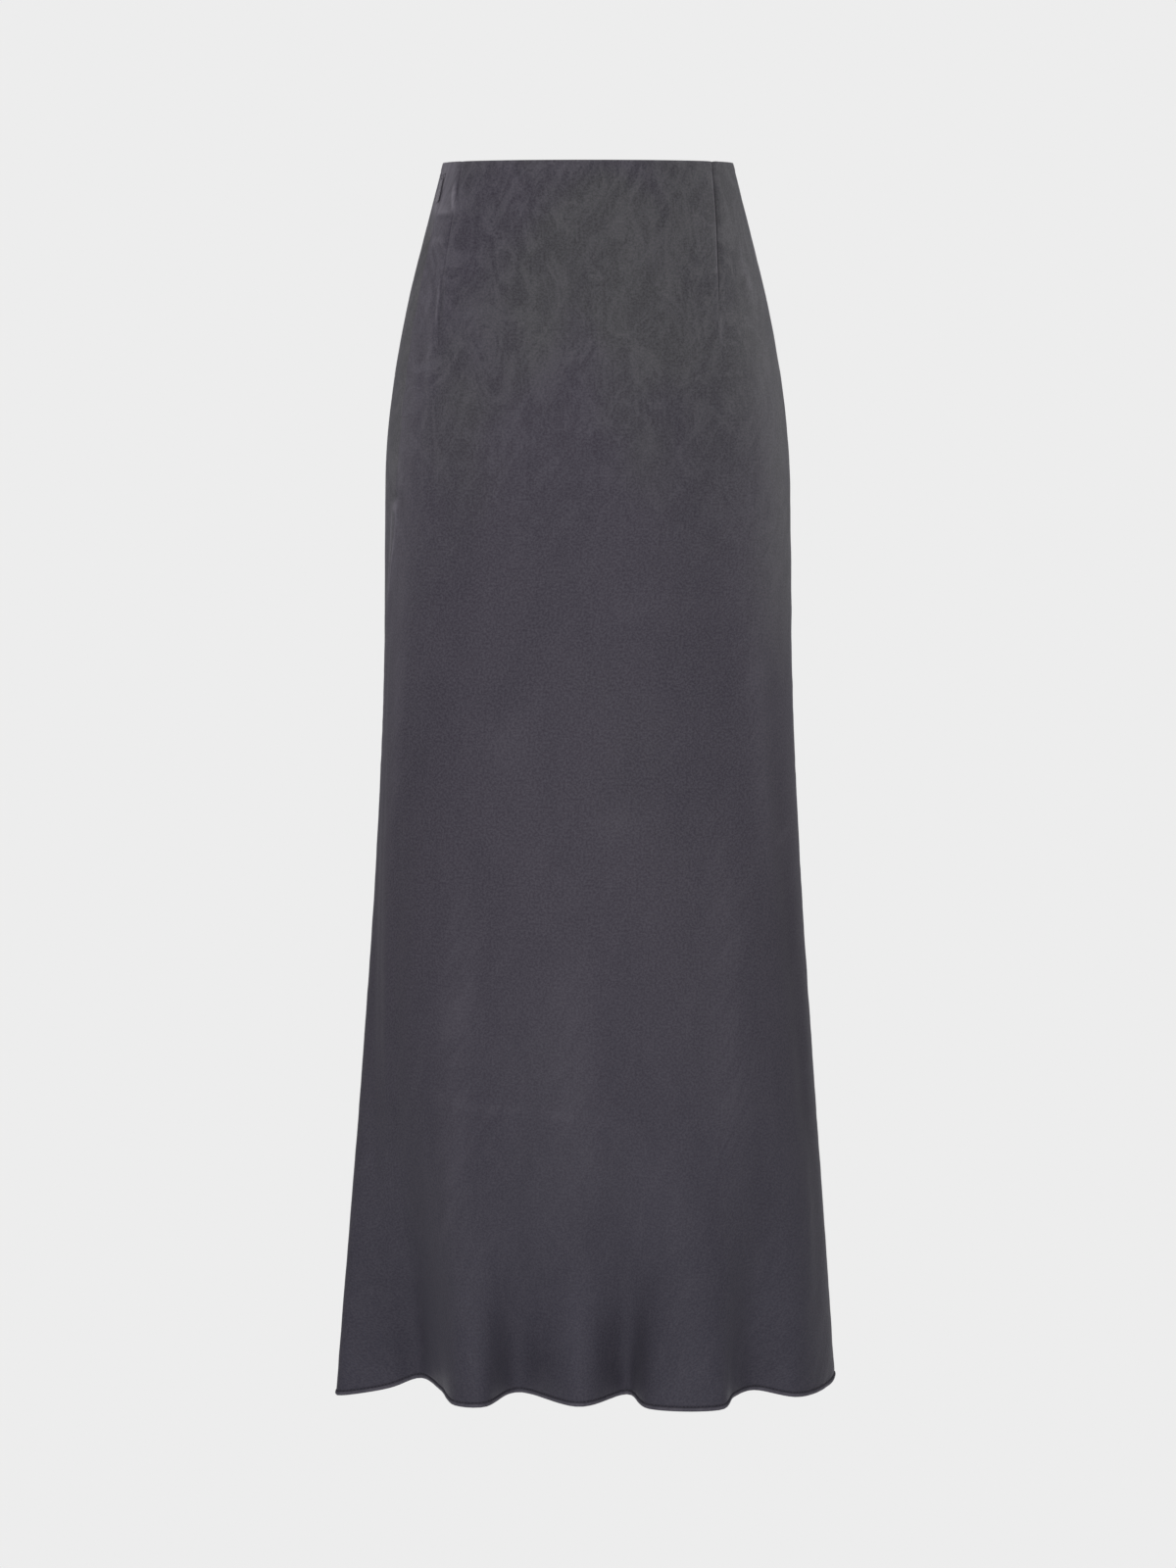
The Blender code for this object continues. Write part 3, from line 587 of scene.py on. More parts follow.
# ------------------------------------------------------------------ the fine panels
class Panel:
    """A panel's fine grid: points in the middle of the cloth, their normals, and where each lies on it."""

    def __init__(self, name):
        self.name = name
        drops = row_drops()
        rows = [column_fractions(name, float(drop)) for drop in drops]
        base = np.array([form_row(name, row, float(drop)) for row, drop in zip(rows, drops)])
        widths = np.array([panel_width(name, float(drop)) for drop in drops])
        fractions = np.array(rows)
        self.drop = np.repeat(drops[:, None], fractions.shape[1], axis=1)
        self.across = (fractions - 0.5) * widths[:, None]
        from_zip_seam = fractions * widths[:, None]
        from_plain_seam = (1.0 - fractions) * widths[:, None]
        creased, crease_painted_light = crease_relief(name, self.across, self.drop)
        darted, dart_painted_light = dart_relief(name, self.across, self.drop)
        edged, edge_painted_light = edge_relief(self.drop)
        sewn, seam_painted_light = seam_relief(from_zip_seam, from_plain_seam, self.drop)
        # painted light from creases, darts, edges and seams: above 0 a painted highlight, below 0 painted
        # shade
        self.marks = crease_painted_light + dart_painted_light + edge_painted_light + seam_painted_light
        relief = creased + edged + hem_ripple(self.across, self.drop)
        relief = relief + drape_relief(name, self.across, self.drop)
        calm = smooth_step(np.minimum(from_zip_seam, from_plain_seam), 0.0, 0.012)
        calm *= 0.4 + 0.6 * smooth_step(self.drop, 0.0, 0.03)
        relief = relief * np.maximum(calm, smooth_step(self.drop, LENGTH - 0.012, LENGTH - 0.004))
        relief = relief + darted + sewn
        self.points = base + outward(base, name) * relief[..., None]
        self.normals = outward(self.points, name)

    def at(self, fraction_of_columns, drop):
        """The point and normal at a place given by a share of the columns and a drop."""
        rows, columns = self.drop.shape
        row = float(np.interp(drop, self.drop[:, 0], np.arange(rows)))
        column = fraction_of_columns * (columns - 1)
        r, c = min(int(row), rows - 2), min(int(column), columns - 2)
        u, v = row - r, column - c

        def mixed(grid):
            upper = grid[r, c] * (1 - v) + grid[r, c + 1] * v
            lower = grid[r + 1, c] * (1 - v) + grid[r + 1, c + 1] * v
            return upper * (1 - u) + lower * u

        return Vector(mixed(self.points)), Vector(mixed(self.normals)).normalized()

    def inside(self, fractions_of_columns, drops, inward):
        """A grid of points this far to the inside. drops has a row for each row of the grid."""
        grid = []
        for row in drops:
            places = [self.at(fraction, drop) for fraction, drop in zip(fractions_of_columns, row)]
            grid.append([point - normal * inward for point, normal in places])
        return np.array(grid)


def grid_mesh(name, points, layers, turned_over):
    """A mesh on a grid of points, with a UV layer for each of the named grids of pairs."""
    rows, columns = points.shape[:2]
    shape = bmesh.new()
    bmesh.ops.create_grid(shape, x_segments=columns - 1, y_segments=rows - 1, size=1.0)
    shape.verts.ensure_lookup_table()
    made_layers = [(shape.loops.layers.uv.new(layer), values) for layer, values in layers.items()]
    where = {}
    for vertex in shape.verts:
        column = round((vertex.co.x + 1.0) / 2.0 * (columns - 1))
        row = round((1.0 - vertex.co.y) / 2.0 * (rows - 1))
        where[vertex] = (row, column)
    for vertex, place in where.items():
        vertex.co = points[place]
    for face in shape.faces:
        face.smooth = True
        for loop in face.loops:
            place = where[loop.vert]
            for layer, values in made_layers:
                loop[layer].uv = values[place]
    if turned_over:
        bmesh.ops.reverse_faces(shape, faces=shape.faces[:])
    mesh = bpy.data.meshes.new(name)
    shape.to_mesh(mesh)
    shape.free()
    return mesh


def add_object(name, mesh, finish):
    made = bpy.data.objects.new(name, mesh)
    mesh.materials.append(finish)
    bpy.context.scene.collection.objects.link(made)
    return made


def assign(made, stands_for=None, body="skirt"):
    """Says what a piece rides on, which CAD node it stands for."""
    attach(made, body)
    if stands_for:
        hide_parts(stands_for)
    return made


def thicken(made, thickness, edge_thickness=None, edge_weights=None):
    """Gives an open sheet its wall, thicker at the vertices that edge_weights marks."""
    wall = made.modifiers.new("wall", "SOLIDIFY")
    wall.offset = 0.0
    wall.thickness = thickness
    wall.use_quality_normals = True
    if edge_weights is not None:
        wall.thickness = edge_thickness
        wall.thickness_vertex_group = thickness / edge_thickness
        group = made.vertex_groups.new(name="turned")
        for index, weight in enumerate(edge_weights):
            if weight > 0.0:
                group.add([index], float(weight), "REPLACE")
        wall.vertex_group = group.name


def make_panel(panel, finish):
    """A satin panel, its waist edge and hem turned in."""
    places = np.stack([panel.across, -panel.drop], axis=-1)
    # painted highlights and painted shade, as two channels for the shader
    marks = np.clip(np.stack([panel.marks, -panel.marks], axis=-1), 0.0, 1.0)
    layers = {"cloth": places, "length": places + cut_from(panel), "marks": marks}
    mesh = grid_mesh(f"{panel.name}_satin", panel.points, layers, panel.name == "back")
    made = add_object(f"{panel.name}_satin", mesh, finish)
    drops = [-loop_uv for loop_uv in vertex_values(mesh, "cloth")]
    turned = [
        float(
            1.0
            - smooth_step(drop, TURNED_WAIST - 0.001, TURNED_WAIST + 0.0005)
            + smooth_step(drop, LENGTH - 0.0050, LENGTH - 0.0030)
        )
        for drop in drops
    ]
    thicken(made, CLOTH, EDGE_CLOTH, turned)
    return assign(made, f"{panel.name}_panel")


def cut_from(panel):
    """Where a panel's middle lies on the length of cloth that both are cut from, one beside the other."""
    return np.array([BESIDE_ON_LENGTH * (panel.name == "back"), 0.0])


def vertex_values(mesh, layer):
    """The second UV coordinate of each vertex."""
    values = np.zeros(len(mesh.vertices))
    uv = np.zeros(len(mesh.loops) * 2)
    mesh.uv_layers[layer].data.foreach_get("uv", uv)
    corners = np.zeros(len(mesh.loops), dtype=int)
    mesh.loops.foreach_get("vertex_index", corners)
    values[corners] = uv[1::2]
    return values


# ------------------------------------------------------------------ hems and stitches
HEM_TURN = 0.0048        # height of the turned-in strip
HEM_TURN_CLOTH = 0.0004
HEM_TURN_WIDTH = 0.7     # about a panel's width at the hem
HEM_TURN_GAP = 0.00008   # between the strip and the panel


def make_hem(panel, finish):
    """The strip of satin that is turned to the inside along the hem, its upper edge a little uneven."""
    shares = np.linspace(0.004, 0.996, 260)
    drops = np.linspace(LENGTH - HEM_TURN, LENGTH - 0.0003, 7)
    places = np.stack(np.meshgrid(shares * HEM_TURN_WIDTH, -drops), axis=-1)
    rows = np.repeat(drops[:, None], len(shares), axis=1)
    rows[0] += [0.00035 * noise.noise((share * 90.0, 0.0, 5.0)) for share in shares]
    points = panel.inside(shares, rows, EDGE_CLOTH / 2 + HEM_TURN_CLOTH / 2 + HEM_TURN_GAP)
    layers = {"cloth": places, "length": places + cut_from(panel), "marks": 0.0 * places}
    name = f"hem_{panel.name}"
    made = add_object(name, grid_mesh(name, points, layers, panel.name == "back"), finish)
    thicken(made, HEM_TURN_CLOTH)
    return assign(made, f"{panel.name}_hem")


def tube(rings, sides, section):
    """A closed tube along X, as vertices and faces. section gives x, radius and lift for a ring's share."""
    vertices, faces = [], []
    for ring in range(rings):
        x, radius, lift = section(ring / (rings - 1))
        for side in range(sides):
            turn = 2.0 * math.pi * side / sides
            vertices.append((x, radius * math.cos(turn), lift + radius * math.sin(turn)))
    for ring in range(rings - 1):
        for side in range(sides):
            a, b = ring * sides + side, ring * sides + (side + 1) % sides
            faces.append((a, b, b + sides, a + sides))
    faces.append(tuple(range(sides))[::-1])
    faces.append(tuple(range((rings - 1) * sides, rings * sides)))
    return np.array(vertices), faces


def stitch_section(share):
    """A stitch dips into the cloth at both ends."""
    bulge = math.sin(math.pi * share)
    return (share - 0.5) * STITCH_LENGTH, THREAD * (0.45 + 0.55 * bulge), THREAD * (2.0 * bulge - 1.2)


def tooth_section(share):
    """A tooth of the coil has round ends, and is thicker where it hooks over the next."""
    turn = math.pi * share
    along_tooth = 0.5 - 0.5 * math.cos(turn)
    radius = TOOTH_RADIUS * (0.25 + 0.75 * math.sin(turn) ** 0.4) * (1.0 + TOOTH_HEAD * along_tooth)
    return (along_tooth - 0.5) * TOOTH_LENGTH, radius, 0.0


STITCH = tube(5, 6, stitch_section)
TOOTH = tube(7, 8, tooth_section)


def copies_mesh(name, template, frames):
    """One mesh of a template copied to each frame: (place, ahead, out)."""
    shape, template_faces = template
    vertices, faces = [], []
    for place, ahead, out in frames:
        ahead = ahead.normalized()
        side = out.cross(ahead).normalized()
        axes = np.array([ahead, side, ahead.cross(side)])
        start = len(vertices) * len(shape)
        vertices.append(shape @ axes + np.array(place))
        faces.extend([tuple(start + corner for corner in face) for face in template_faces])
    mesh = bpy.data.meshes.new(name)
    mesh.from_pydata(np.concatenate(vertices).tolist(), [], faces)
    mesh.shade_smooth()
    mesh.update()
    return mesh


def line_of_stitches(places):
    """Stitches end to end along a line of (point, normal) places."""
    points = [place[0] for place in places]
    steps = [0.0]
    for a, b in zip(points, points[1:]):
        steps.append(steps[-1] + (b - a).length)
    count = int(steps[-1] / STITCH_PITCH)
    frames = []
    for k in range(count):
        middle = (k + 0.5) * steps[-1] / count
        j = min(int(np.searchsorted(steps, middle)), len(points) - 1)
        share = (middle - steps[j - 1]) / (steps[j] - steps[j - 1])
        place = points[j - 1].lerp(points[j], share)
        normal = places[j - 1][1].lerp(places[j][1], share)
        ahead = points[j] - points[j - 1]
        slant = 0.05 * noise.noise((k * 0.7, 1.0, 2.0))
        frames.append((place, ahead.normalized() + normal.cross(ahead).normalized() * slant, normal))
    return frames


def make_hem_stitches(panel, finish):
    """The row of stitches that holds the hem, on the outside and, over the turned strip, on the inside."""
    outer = EDGE_CLOTH / 2 + 0.2 * THREAD
    inner = EDGE_CLOTH / 2 + HEM_TURN_CLOTH + 0.0001
    sides = []
    for offset, height in ((outer, HEM_STITCH_HEIGHT), (-inner, HEM_STITCH_HEIGHT + 0.0002)):
        line = []
        for share in np.linspace(0.006, 0.994, 500):
            point, normal = panel.at(share, LENGTH - height)
            line.append((point + normal * offset, normal if offset > 0 else -normal))
        sides += line_of_stitches(line)
    name = f"hem_stitches_{panel.name}"
    made = add_object(name, copies_mesh(name, STITCH, sides), finish)
    return assign(made)


# ------------------------------------------------------------------ the zip
def seam_frame(drop):
    """The -X seam at a drop: its point, and unit vectors outward, forward along the cloth, and down it."""

    def beside(panel, distance, at_drop):
        fraction = distance / panel_width(panel, at_drop)
        return Vector(form_row(panel, np.array([fraction]), at_drop)[0])

    point = beside("front", 0.0, drop)
    down = beside("front", 0.0, drop + 0.002) - beside("front", 0.0, max(drop - 0.002, 0.0))
    out = down.cross(beside("front", SEAM_REACH, drop) - beside("back", SEAM_REACH, drop)).normalized()
    down.normalize()
    return point, out, out.cross(down), down


def make_tape(panel, finish):
    """A woven zip tape on the inside of a panel."""
    drops = np.linspace(ZIP_TOP, TAPE_END, 150)
    columns = np.interp(TAPE_COLUMNS, BESIDE_SEAM, np.arange(len(BESIDE_SEAM))) / (panel.drop.shape[1] - 1)
    points = panel.inside(columns, np.repeat(drops[:, None], len(columns), axis=1), TAPE_BEHIND)
    layers = {"cloth": np.stack(np.meshgrid(TAPE_COLUMNS, -drops), axis=-1)}
    name = f"tape_{panel.name}"
    made = add_object(name, grid_mesh(name, points, layers, panel.name == "back"), finish)
    thicken(made, TAPE_THICKNESS)
    assign(made, f"zip_tape_{panel.name}")


def make_chain(finish):
    """The closed coil: teeth from the two tapes in turn, each hooked over the middle of the chain."""
    start = SLIDER_DROP + SLIDER_BODY[2] / 2 + CHAIN_GAP
    count = int((ZIP_END - start) / TOOTH_PITCH)
    frames = []
    for k in range(count):
        point, out, forward, _ = seam_frame(start + (k + 0.5) * (ZIP_END - start) / count)
        ahead = forward if k % 2 else -forward
        frames.append((point - out * CHAIN_BEHIND - ahead * TOOTH_SHIFT, ahead, out))
    made = add_object("chain", copies_mesh("chain", TOOTH, frames), finish)
    assign(made, "zip_chain")


def make_chain_stitches(finish):
    """The two rows of thread that hold the coil on its tapes."""
    frames = []
    for side in (-1.0, 1.0):
        line = []
        for drop in np.linspace(SLIDER_DROP + 0.006, ZIP_END, 120):
            point, out, forward, _ = seam_frame(float(drop))
            line.append((point + forward * side * STITCHED_AT - out * (CHAIN_BEHIND + TOOTH_TOP), -out))
        frames += line_of_stitches(line)
    made = add_object("chain_stitches", copies_mesh("chain_stitches", STITCH, frames), finish)
    assign(made)


def outline_plate(name, outlines, thickness, rounding):
    """A flat plate in the XY plane with rounded edges, from its outline and the outlines of its holes."""
    flat = bpy.data.curves.new(name, "CURVE")
    flat.dimensions = "2D"
    flat.fill_mode = "BOTH"
    flat.extrude = thickness / 2 - rounding
    flat.bevel_depth = rounding
    flat.bevel_resolution = 3
    flat.offset = -rounding
    for outline in outlines:
        spline = flat.splines.new("POLY")
        spline.points.add(len(outline) - 1)
        for point, (x, y) in zip(spline.points, outline):
            point.co = (x, y, 0.0, 1.0)
        spline.use_cyclic_u = True
    holder = bpy.data.objects.new(name, flat)
    bpy.context.scene.collection.objects.link(holder)
    shape = holder.evaluated_get(bpy.context.evaluated_depsgraph_get())
    mesh = bpy.data.meshes.new_from_object(shape)
    bpy.data.objects.remove(holder)
    mesh.name = name
    return mesh


def arc(centre, radius, start, end, steps):
    """Points on an arc, from one angle to another, in degrees."""
    angles = np.radians(np.linspace(start, end, steps))
    return [(centre[0] + radius * math.cos(a), centre[1] + radius * math.sin(a)) for a in angles]


def rounded_outline(corners, radii, steps, middle=(0.0, 0.0)):
    """The outline through these corners, each rounded, anticlockwise from the upper right one."""
    points = []
    for k, ((x, y), radius) in enumerate(zip(corners, radii)):
        centre = (middle[0] + x - math.copysign(radius, x), middle[1] + y - math.copysign(radius, y))
        points += arc(centre, radius, 90.0 * k, 90.0 * k + 90.0, steps)
    return points


def rounded_box(width, height, radius, middle=(0.0, 0.0)):
    """The outline of a box with round corners."""
    x, y = width / 2, height / 2
    return rounded_outline(((x, y), (-x, y), (-x, -y), (x, -y)), [radius] * 4, 7, middle)


def merged(name, pieces):
    """One mesh of several (mesh, matrix) pairs."""
    shape = bmesh.new()
    for mesh, matrix in pieces:
        mesh.transform(matrix)
        shape.from_mesh(mesh)
    bmesh.ops.remove_doubles(shape, verts=shape.verts, dist=0.000002)
    joined = bpy.data.meshes.new(name)
    shape.to_mesh(joined)
    shape.free()
    for mesh, _ in pieces:
        bpy.data.meshes.remove(mesh)
    return joined


def smooth_with_edges(mesh):
    mesh.shade_smooth()
    mesh.set_sharp_from_angle(angle=math.radians(35.0))
    return mesh


def make_slider(finish):
    """The slider: two shaped plates with side flanges round the coil, and a bridge through the seam."""
    point, out, forward, down = seam_frame(SLIDER_DROP)
    thickness, width, height = SLIDER_BODY
    top, foot, half = width / 2, 0.74 * width / 2, height / 2
    corners = ((top, half), (-top, half), (-foot, -half), (foot, -half))
    shield = rounded_outline(corners, (0.0014, 0.0014, 0.0010, 0.0010), 6)
    inner_face = SLIDER_OUT - SLIDER_PLATE
    inner_plate = SLIDER_OUT - thickness + SLIDER_PLATE / 2
    between_plates = SLIDER_OUT - thickness / 2
    facing = Matrix((forward, -down, out)).transposed().to_4x4()
    upright = facing @ Matrix.Rotation(math.radians(90.0), 4, "X")
    edgewise = Matrix((out, -down, out.cross(-down))).transposed().to_4x4()
    pieces = []

    def add(name, outlines, thick, rounding, turn, outward_by=0.0, sideways=0.0, up=0.0):
        middle = point + out * outward_by + forward * sideways - down * up
        plate = outline_plate(name, outlines, thick, rounding)
        pieces.append((plate, Matrix.Translation(middle) @ turn))

    for outward_by in (SLIDER_OUT - SLIDER_PLATE / 2, inner_plate):
        add("plate", [shield], SLIDER_PLATE, 0.00018, facing, outward_by)
    post = rounded_box(0.0013, thickness - 0.0004, 0.0003)
    add("post", [post], 0.0024, 0.0002, upright, between_plates, 0.0, half - 0.0018)
    flange = rounded_box(0.00055, thickness - 0.0012, 0.00022)
    for side in (-1.0, 1.0):
        add("flange", [flange], 0.0046, 0.0002, upright, between_plates, side * (foot - 0.0003), -0.0018)
    outer = HINGE_OUT + BRIDGE_WINDOW / 2 + BRIDGE_WALL
    bridge_size = (outer - inner_face, BRIDGE_WINDOW + 2 * BRIDGE_WALL)
    bridge = rounded_box(*bridge_size, 0.0012, ((outer + inner_face) / 2, 0.0))
    hole = rounded_box(BRIDGE_WINDOW, BRIDGE_WINDOW, 0.0006, (HINGE_OUT, 0.0))
    add("bridge", [bridge, hole], NECK_THICKNESS, 0.0003, edgewise)
    made = add_object("slider", smooth_with_edges(merged("slider", pieces)), finish)
    assign(made, "zip_slider")


def make_pull(finish):
    """The drop-shaped pull, at rest against the cloth below its hinge in the bridge."""
    joint = frame["joints"][0]
    hinge = Vector(joint["pos_m"])
    forward = Vector(joint["axis"]).normalized()
    below, below_out, _, _ = seam_frame(SLIDER_DROP + PULL_LENGTH)
    down = below + below_out * PULL_REST - hinge
    down = (down - forward * down.dot(forward)).normalized()
    out = forward.cross(-down)
    if out.dot(below_out) < 0.0:
        forward, out = -forward, -out

    half_top, radius, bar = PULL_TOP_WIDTH / 2, PULL_TIP_WIDTH / 2, PULL_THICKNESS / 2
    outline = rounded_outline(((half_top, bar), (-half_top, bar)), (0.0005, 0.0005), 5)
    outline += arc((0.0, -PULL_LENGTH + radius), radius, 180.0, 360.0, 24)
    slot_middle = (0.0, -(PULL_SLOT_END + bar) / 2)
    slot = rounded_box(PULL_SLOT_WIDTH, PULL_SLOT_END - bar, 0.0005, slot_middle)
    mesh = outline_plate("pull", [outline, slot], PULL_THICKNESS, 0.0004)
    mesh.transform(Matrix.Translation(hinge) @ Matrix((forward, -down, out)).transposed().to_4x4())
    made = add_object("pull", smooth_with_edges(mesh), finish)
    assign(made, "zip_pull", body="pull_tab")


# ------------------------------------------------------------------ materials
class Nodes:
    """A small helper that adds nodes to a tree and links them."""

    def __init__(self, tree):
        self.tree = tree

    def node(self, kind, values=(), **settings):
        made = self.tree.nodes.new(kind)
        for key, value in settings.items():
            setattr(made, key, value)
        for socket, value in values:
            if isinstance(value, bpy.types.NodeSocket):
                self.tree.links.new(value, made.inputs[socket])
            else:
                made.inputs[socket].default_value = value
        return made

    def spot(self, kind="Object"):
        return self.node("ShaderNodeTexCoord").outputs[kind]

    def split(self, vector):
        """The X, Y and Z of a vector."""
        return self.node("ShaderNodeSeparateXYZ", ((0, vector),)).outputs[:3]

    def places(self, layer, down=1.0, turn=0.0):
        """Positions on the flat cloth in metres, turned by an angle, and then scaled along the cloth."""
        flat = self.node("ShaderNodeUVMap", uv_map=layer).outputs["UV"]
        turned = self.node("ShaderNodeVectorRotate", (("Vector", flat), ("Angle", turn))).outputs["Vector"]
        return self.stretched(turned, (1.0, down, 1.0))

    def stretched(self, vector, scale):
        return self.node("ShaderNodeMapping", (("Vector", vector), ("Scale", scale))).outputs["Vector"]

    def noise(self, vector, scale, detail=3.0, roughness=0.5, distortion=0.0):
        names = ("Vector", "Scale", "Detail", "Roughness", "Distortion")
        values = tuple(zip(names, (vector, scale, detail, roughness, distortion)))
        return self.node("ShaderNodeTexNoise", values).outputs["Fac"]

    def twill(self, vector, scale, distortion):
        values = (("Vector", vector), ("Scale", scale), ("Distortion", distortion), ("Detail", 1.0))
        return self.node("ShaderNodeTexWave", values, bands_direction="DIAGONAL").outputs["Fac"]

    def ranged(self, value, low, high, to_low=0.0, to_high=1.0, kind="SMOOTHSTEP"):
        """value moved from low..high to to_low..to_high, by default smooth at both ends."""
        names = ("Value", "From Min", "From Max", "To Min", "To Max")
        values = tuple(zip(names, (value, low, high, to_low, to_high)))
        return self.node("ShaderNodeMapRange", values, interpolation_type=kind).outputs["Result"]

    def maths(self, operation, first, second=0.0):
        return self.node("ShaderNodeMath", ((0, first), (1, second)), operation=operation).outputs["Value"]

    def times(self, first, second):
        return self.maths("MULTIPLY", first, second)

    def most(self, first, second):
        return self.maths("MAXIMUM", first, second)

    def mixed(self, factor, first, second):
        values = ((0, factor), (6, first), (7, second))
        return self.node("ShaderNodeMix", values, data_type="RGBA").outputs[2]

    def bump(self, height, distance, strength, normal=None):
        values = [("Height", height), ("Distance", distance), ("Strength", strength)]
        if normal is not None:
            values.append(("Normal", normal))
        return self.node("ShaderNodeBump", values).outputs["Normal"]


class Shader(Nodes):
    """A new material's nodes."""

    def __init__(self, name, roughness):
        self.material = bpy.data.materials.new(name)
        self.material.use_nodes = True
        super().__init__(self.material.node_tree)
        self.surface = self.tree.nodes["Principled BSDF"]
        self.set("Roughness", roughness)

    def set(self, socket, value):
        self.surface.inputs[socket].default_value = value

    def link(self, **outputs):
        """Links outputs to the surface's sockets, whose names have _ for each space."""
        for socket, output in outputs.items():
            self.tree.links.new(output, self.surface.inputs[socket.replace("_", " ")])
        return self.material


SATIN_DARK = (0.0290, 0.0265, 0.0370, 1.0)
SATIN_MIDDLE = (0.0500, 0.0442, 0.0575, 1.0)
SATIN_LIGHT = (0.0980, 0.0910, 0.1100, 1.0)
SATIN_GREENISH = (0.0540, 0.0545, 0.0550, 1.0)
SATIN_PALE = (0.1000, 0.0990, 0.1020, 1.0)
SATIN_BLUISH = (0.0400, 0.0390, 0.0530, 1.0)
SATIN_PAINTED_SHADE = (0.0120, 0.0110, 0.0150, 1.0)
SATIN_PAINTED_HIGHLIGHT = (0.1700, 0.1590, 0.1850, 1.0)
TAPE_DARK = (0.026, 0.024, 0.031, 1.0)
TAPE_LIGHT = (0.060, 0.056, 0.068, 1.0)
NYLON_DARK = (0.028, 0.026, 0.032, 1.0)
NYLON_LIGHT = (0.052, 0.049, 0.058, 1.0)
ENAMEL_DARK = (0.108, 0.100, 0.120, 1.0)
ENAMEL_LIGHT = (0.150, 0.141, 0.163, 1.0)
ENAMEL_SCRATCH = (0.26, 0.255, 0.27, 1.0)


def satin(name):
    """Sand-washed satin: cloudy patches, fine streaks down the cloth, a faint twill and a soft sheen. It also
    paints light: a lighter top, painted highlights along the hips' sides and on raised creases and edges, and
    painted shade on the lower right side and in grooves.
    """
    shader = Shader(name, 0.58)
    ranged, times, most = shader.ranged, shader.times, shader.most
    x, y, _ = shader.split(shader.places("cloth"))
    # the painted highlights and painted shade that the panels carry
    painted_highlights, painted_shades, _ = shader.split(shader.node("ShaderNodeUVMap", uv_map="marks").outputs["UV"])
    flat = shader.places("length")
    stretched = shader.places("length", 0.55)

    # where on the skirt: to_right runs from -1 at the left side to 1 at the right, and to_side from 0 to 1
    drop = times(y, -1.0)
    to_right = shader.maths("DIVIDE", x, shader.maths("ADD", times(drop, 0.19), 0.16))
    to_side = shader.maths("ABSOLUTE", to_right)
    low_down = ranged(drop, 0.55, 0.98)
    at_hip = ranged(drop, 0.30, 0.50, 1.0, 0.0)
    plain_hip = times(ranged(to_right, 0.30, 0.85), at_hip)
    # a painted highlight along the sides at the hips, where the wash is also stronger
    rim_highlight_and_wash = times(most(ranged(to_side, 0.66, 1.0), plain_hip), at_hip)
    # the wash is strongest high up and at the hips' sides, where it also paints the top lighter, a painted
    # light from above
    wash_and_painted_top_light = most(ranged(drop, 0.08, 0.38, 1.35, 0.16), rim_highlight_and_wash)

    # the wash: its patches are the broadest, then smears and streaks, and the grain is the finest
    clouds = shader.noise(stretched, 13.0, 4.0, 0.60, 0.6)
    patches = shader.noise(stretched, 34.0, 8.0, 0.76, 2.2)
    smears = shader.noise(shader.places("length", 0.16, 0.55), 95.0, 5.0, 0.70, 0.8)
    streaks = shader.noise(shader.places("length", 0.070), 260.0, 5.0, 0.70, 0.3)
    grain = shader.noise(flat, 520.0, 2.0, 0.80)
    hue = shader.noise(shader.places("length", 0.8), 5.0, 3.0, 0.5)
    washed = times(ranged(patches, 0.45, 0.60), wash_and_painted_top_light)
    smeared = times(ranged(smears, 0.50, 0.66), wash_and_painted_top_light)
    worn = times(ranged(streaks, 0.42, 0.70), wash_and_painted_top_light)
    # painted shade down the lower right side
    painted_side_shade = times(ranged(to_right, 0.60, 0.95), low_down)

    beside_dart = times(ranged(to_right, 0.02, 0.40, 0.0, 0.85), wash_and_painted_top_light)
    greenish = most(times(ranged(hue, 0.44, 0.62, 0.0, 0.9), wash_and_painted_top_light), most(plain_hip, beside_dart))
    light = shader.mixed(greenish, SATIN_LIGHT, SATIN_PALE)
    colour = shader.mixed(greenish, SATIN_MIDDLE, SATIN_GREENISH)
    speckle = shader.mixed(ranged(grain, 0.36, 0.64), SATIN_DARK, SATIN_LIGHT)
    for share, tone in (
        (times(low_down, 0.75), SATIN_BLUISH),
        (ranged(clouds, 0.36, 0.62, 0.30, 0.0), SATIN_DARK),
        # painted shade on the lower right side, broken up by the patches
        (times(painted_side_shade, ranged(patches, 0.40, 0.60, 0.95, 0.55)), SATIN_DARK),
        (times(worn, 0.24), light),
        (times(smeared, 0.34), light),
        (times(washed, shader.maths("ADD", times(rim_highlight_and_wash, 0.30), 0.47)), light),
        # painted highlight along the sides at the hips
        (times(rim_highlight_and_wash, 0.16), light),
        (ranged(drop, 0.45, 0.95, 0.33, 0.20), speckle),
        # painted highlights on raised creases and edges, painted shade in grooves
        (times(painted_highlights, ranged(smears, 0.38, 0.58, 0.45, 1.0)), SATIN_PAINTED_HIGHLIGHT),
        (times(painted_shades, 0.75), SATIN_PAINTED_SHADE),
    ):
        colour = shader.mixed(share, colour, tone)

    weave = shader.bump(shader.twill(flat, 620.0, 1.2), 0.00003, 0.35)
    nap = shader.bump(shader.noise(flat, 420.0, 3.0, 0.7), 0.00016, 0.60, weave)
    rubbed = shader.bump(streaks, 0.00030, 0.50, nap)
    shader.set("Specular IOR Level", 0.06)
    shader.set("Sheen Weight", 0.05)
    shader.set("Sheen Roughness", 0.38)
    shader.set("Sheen Tint", (0.88, 0.86, 1.0, 1.0))
    rough = ranged(shader.maths("ADD", washed, worn), 0.0, 1.0, 0.52, 0.64)
    return shader.link(Base_Color=colour, Roughness=rough, Normal=shader.bump(patches, 0.00080, 0.50, rubbed))


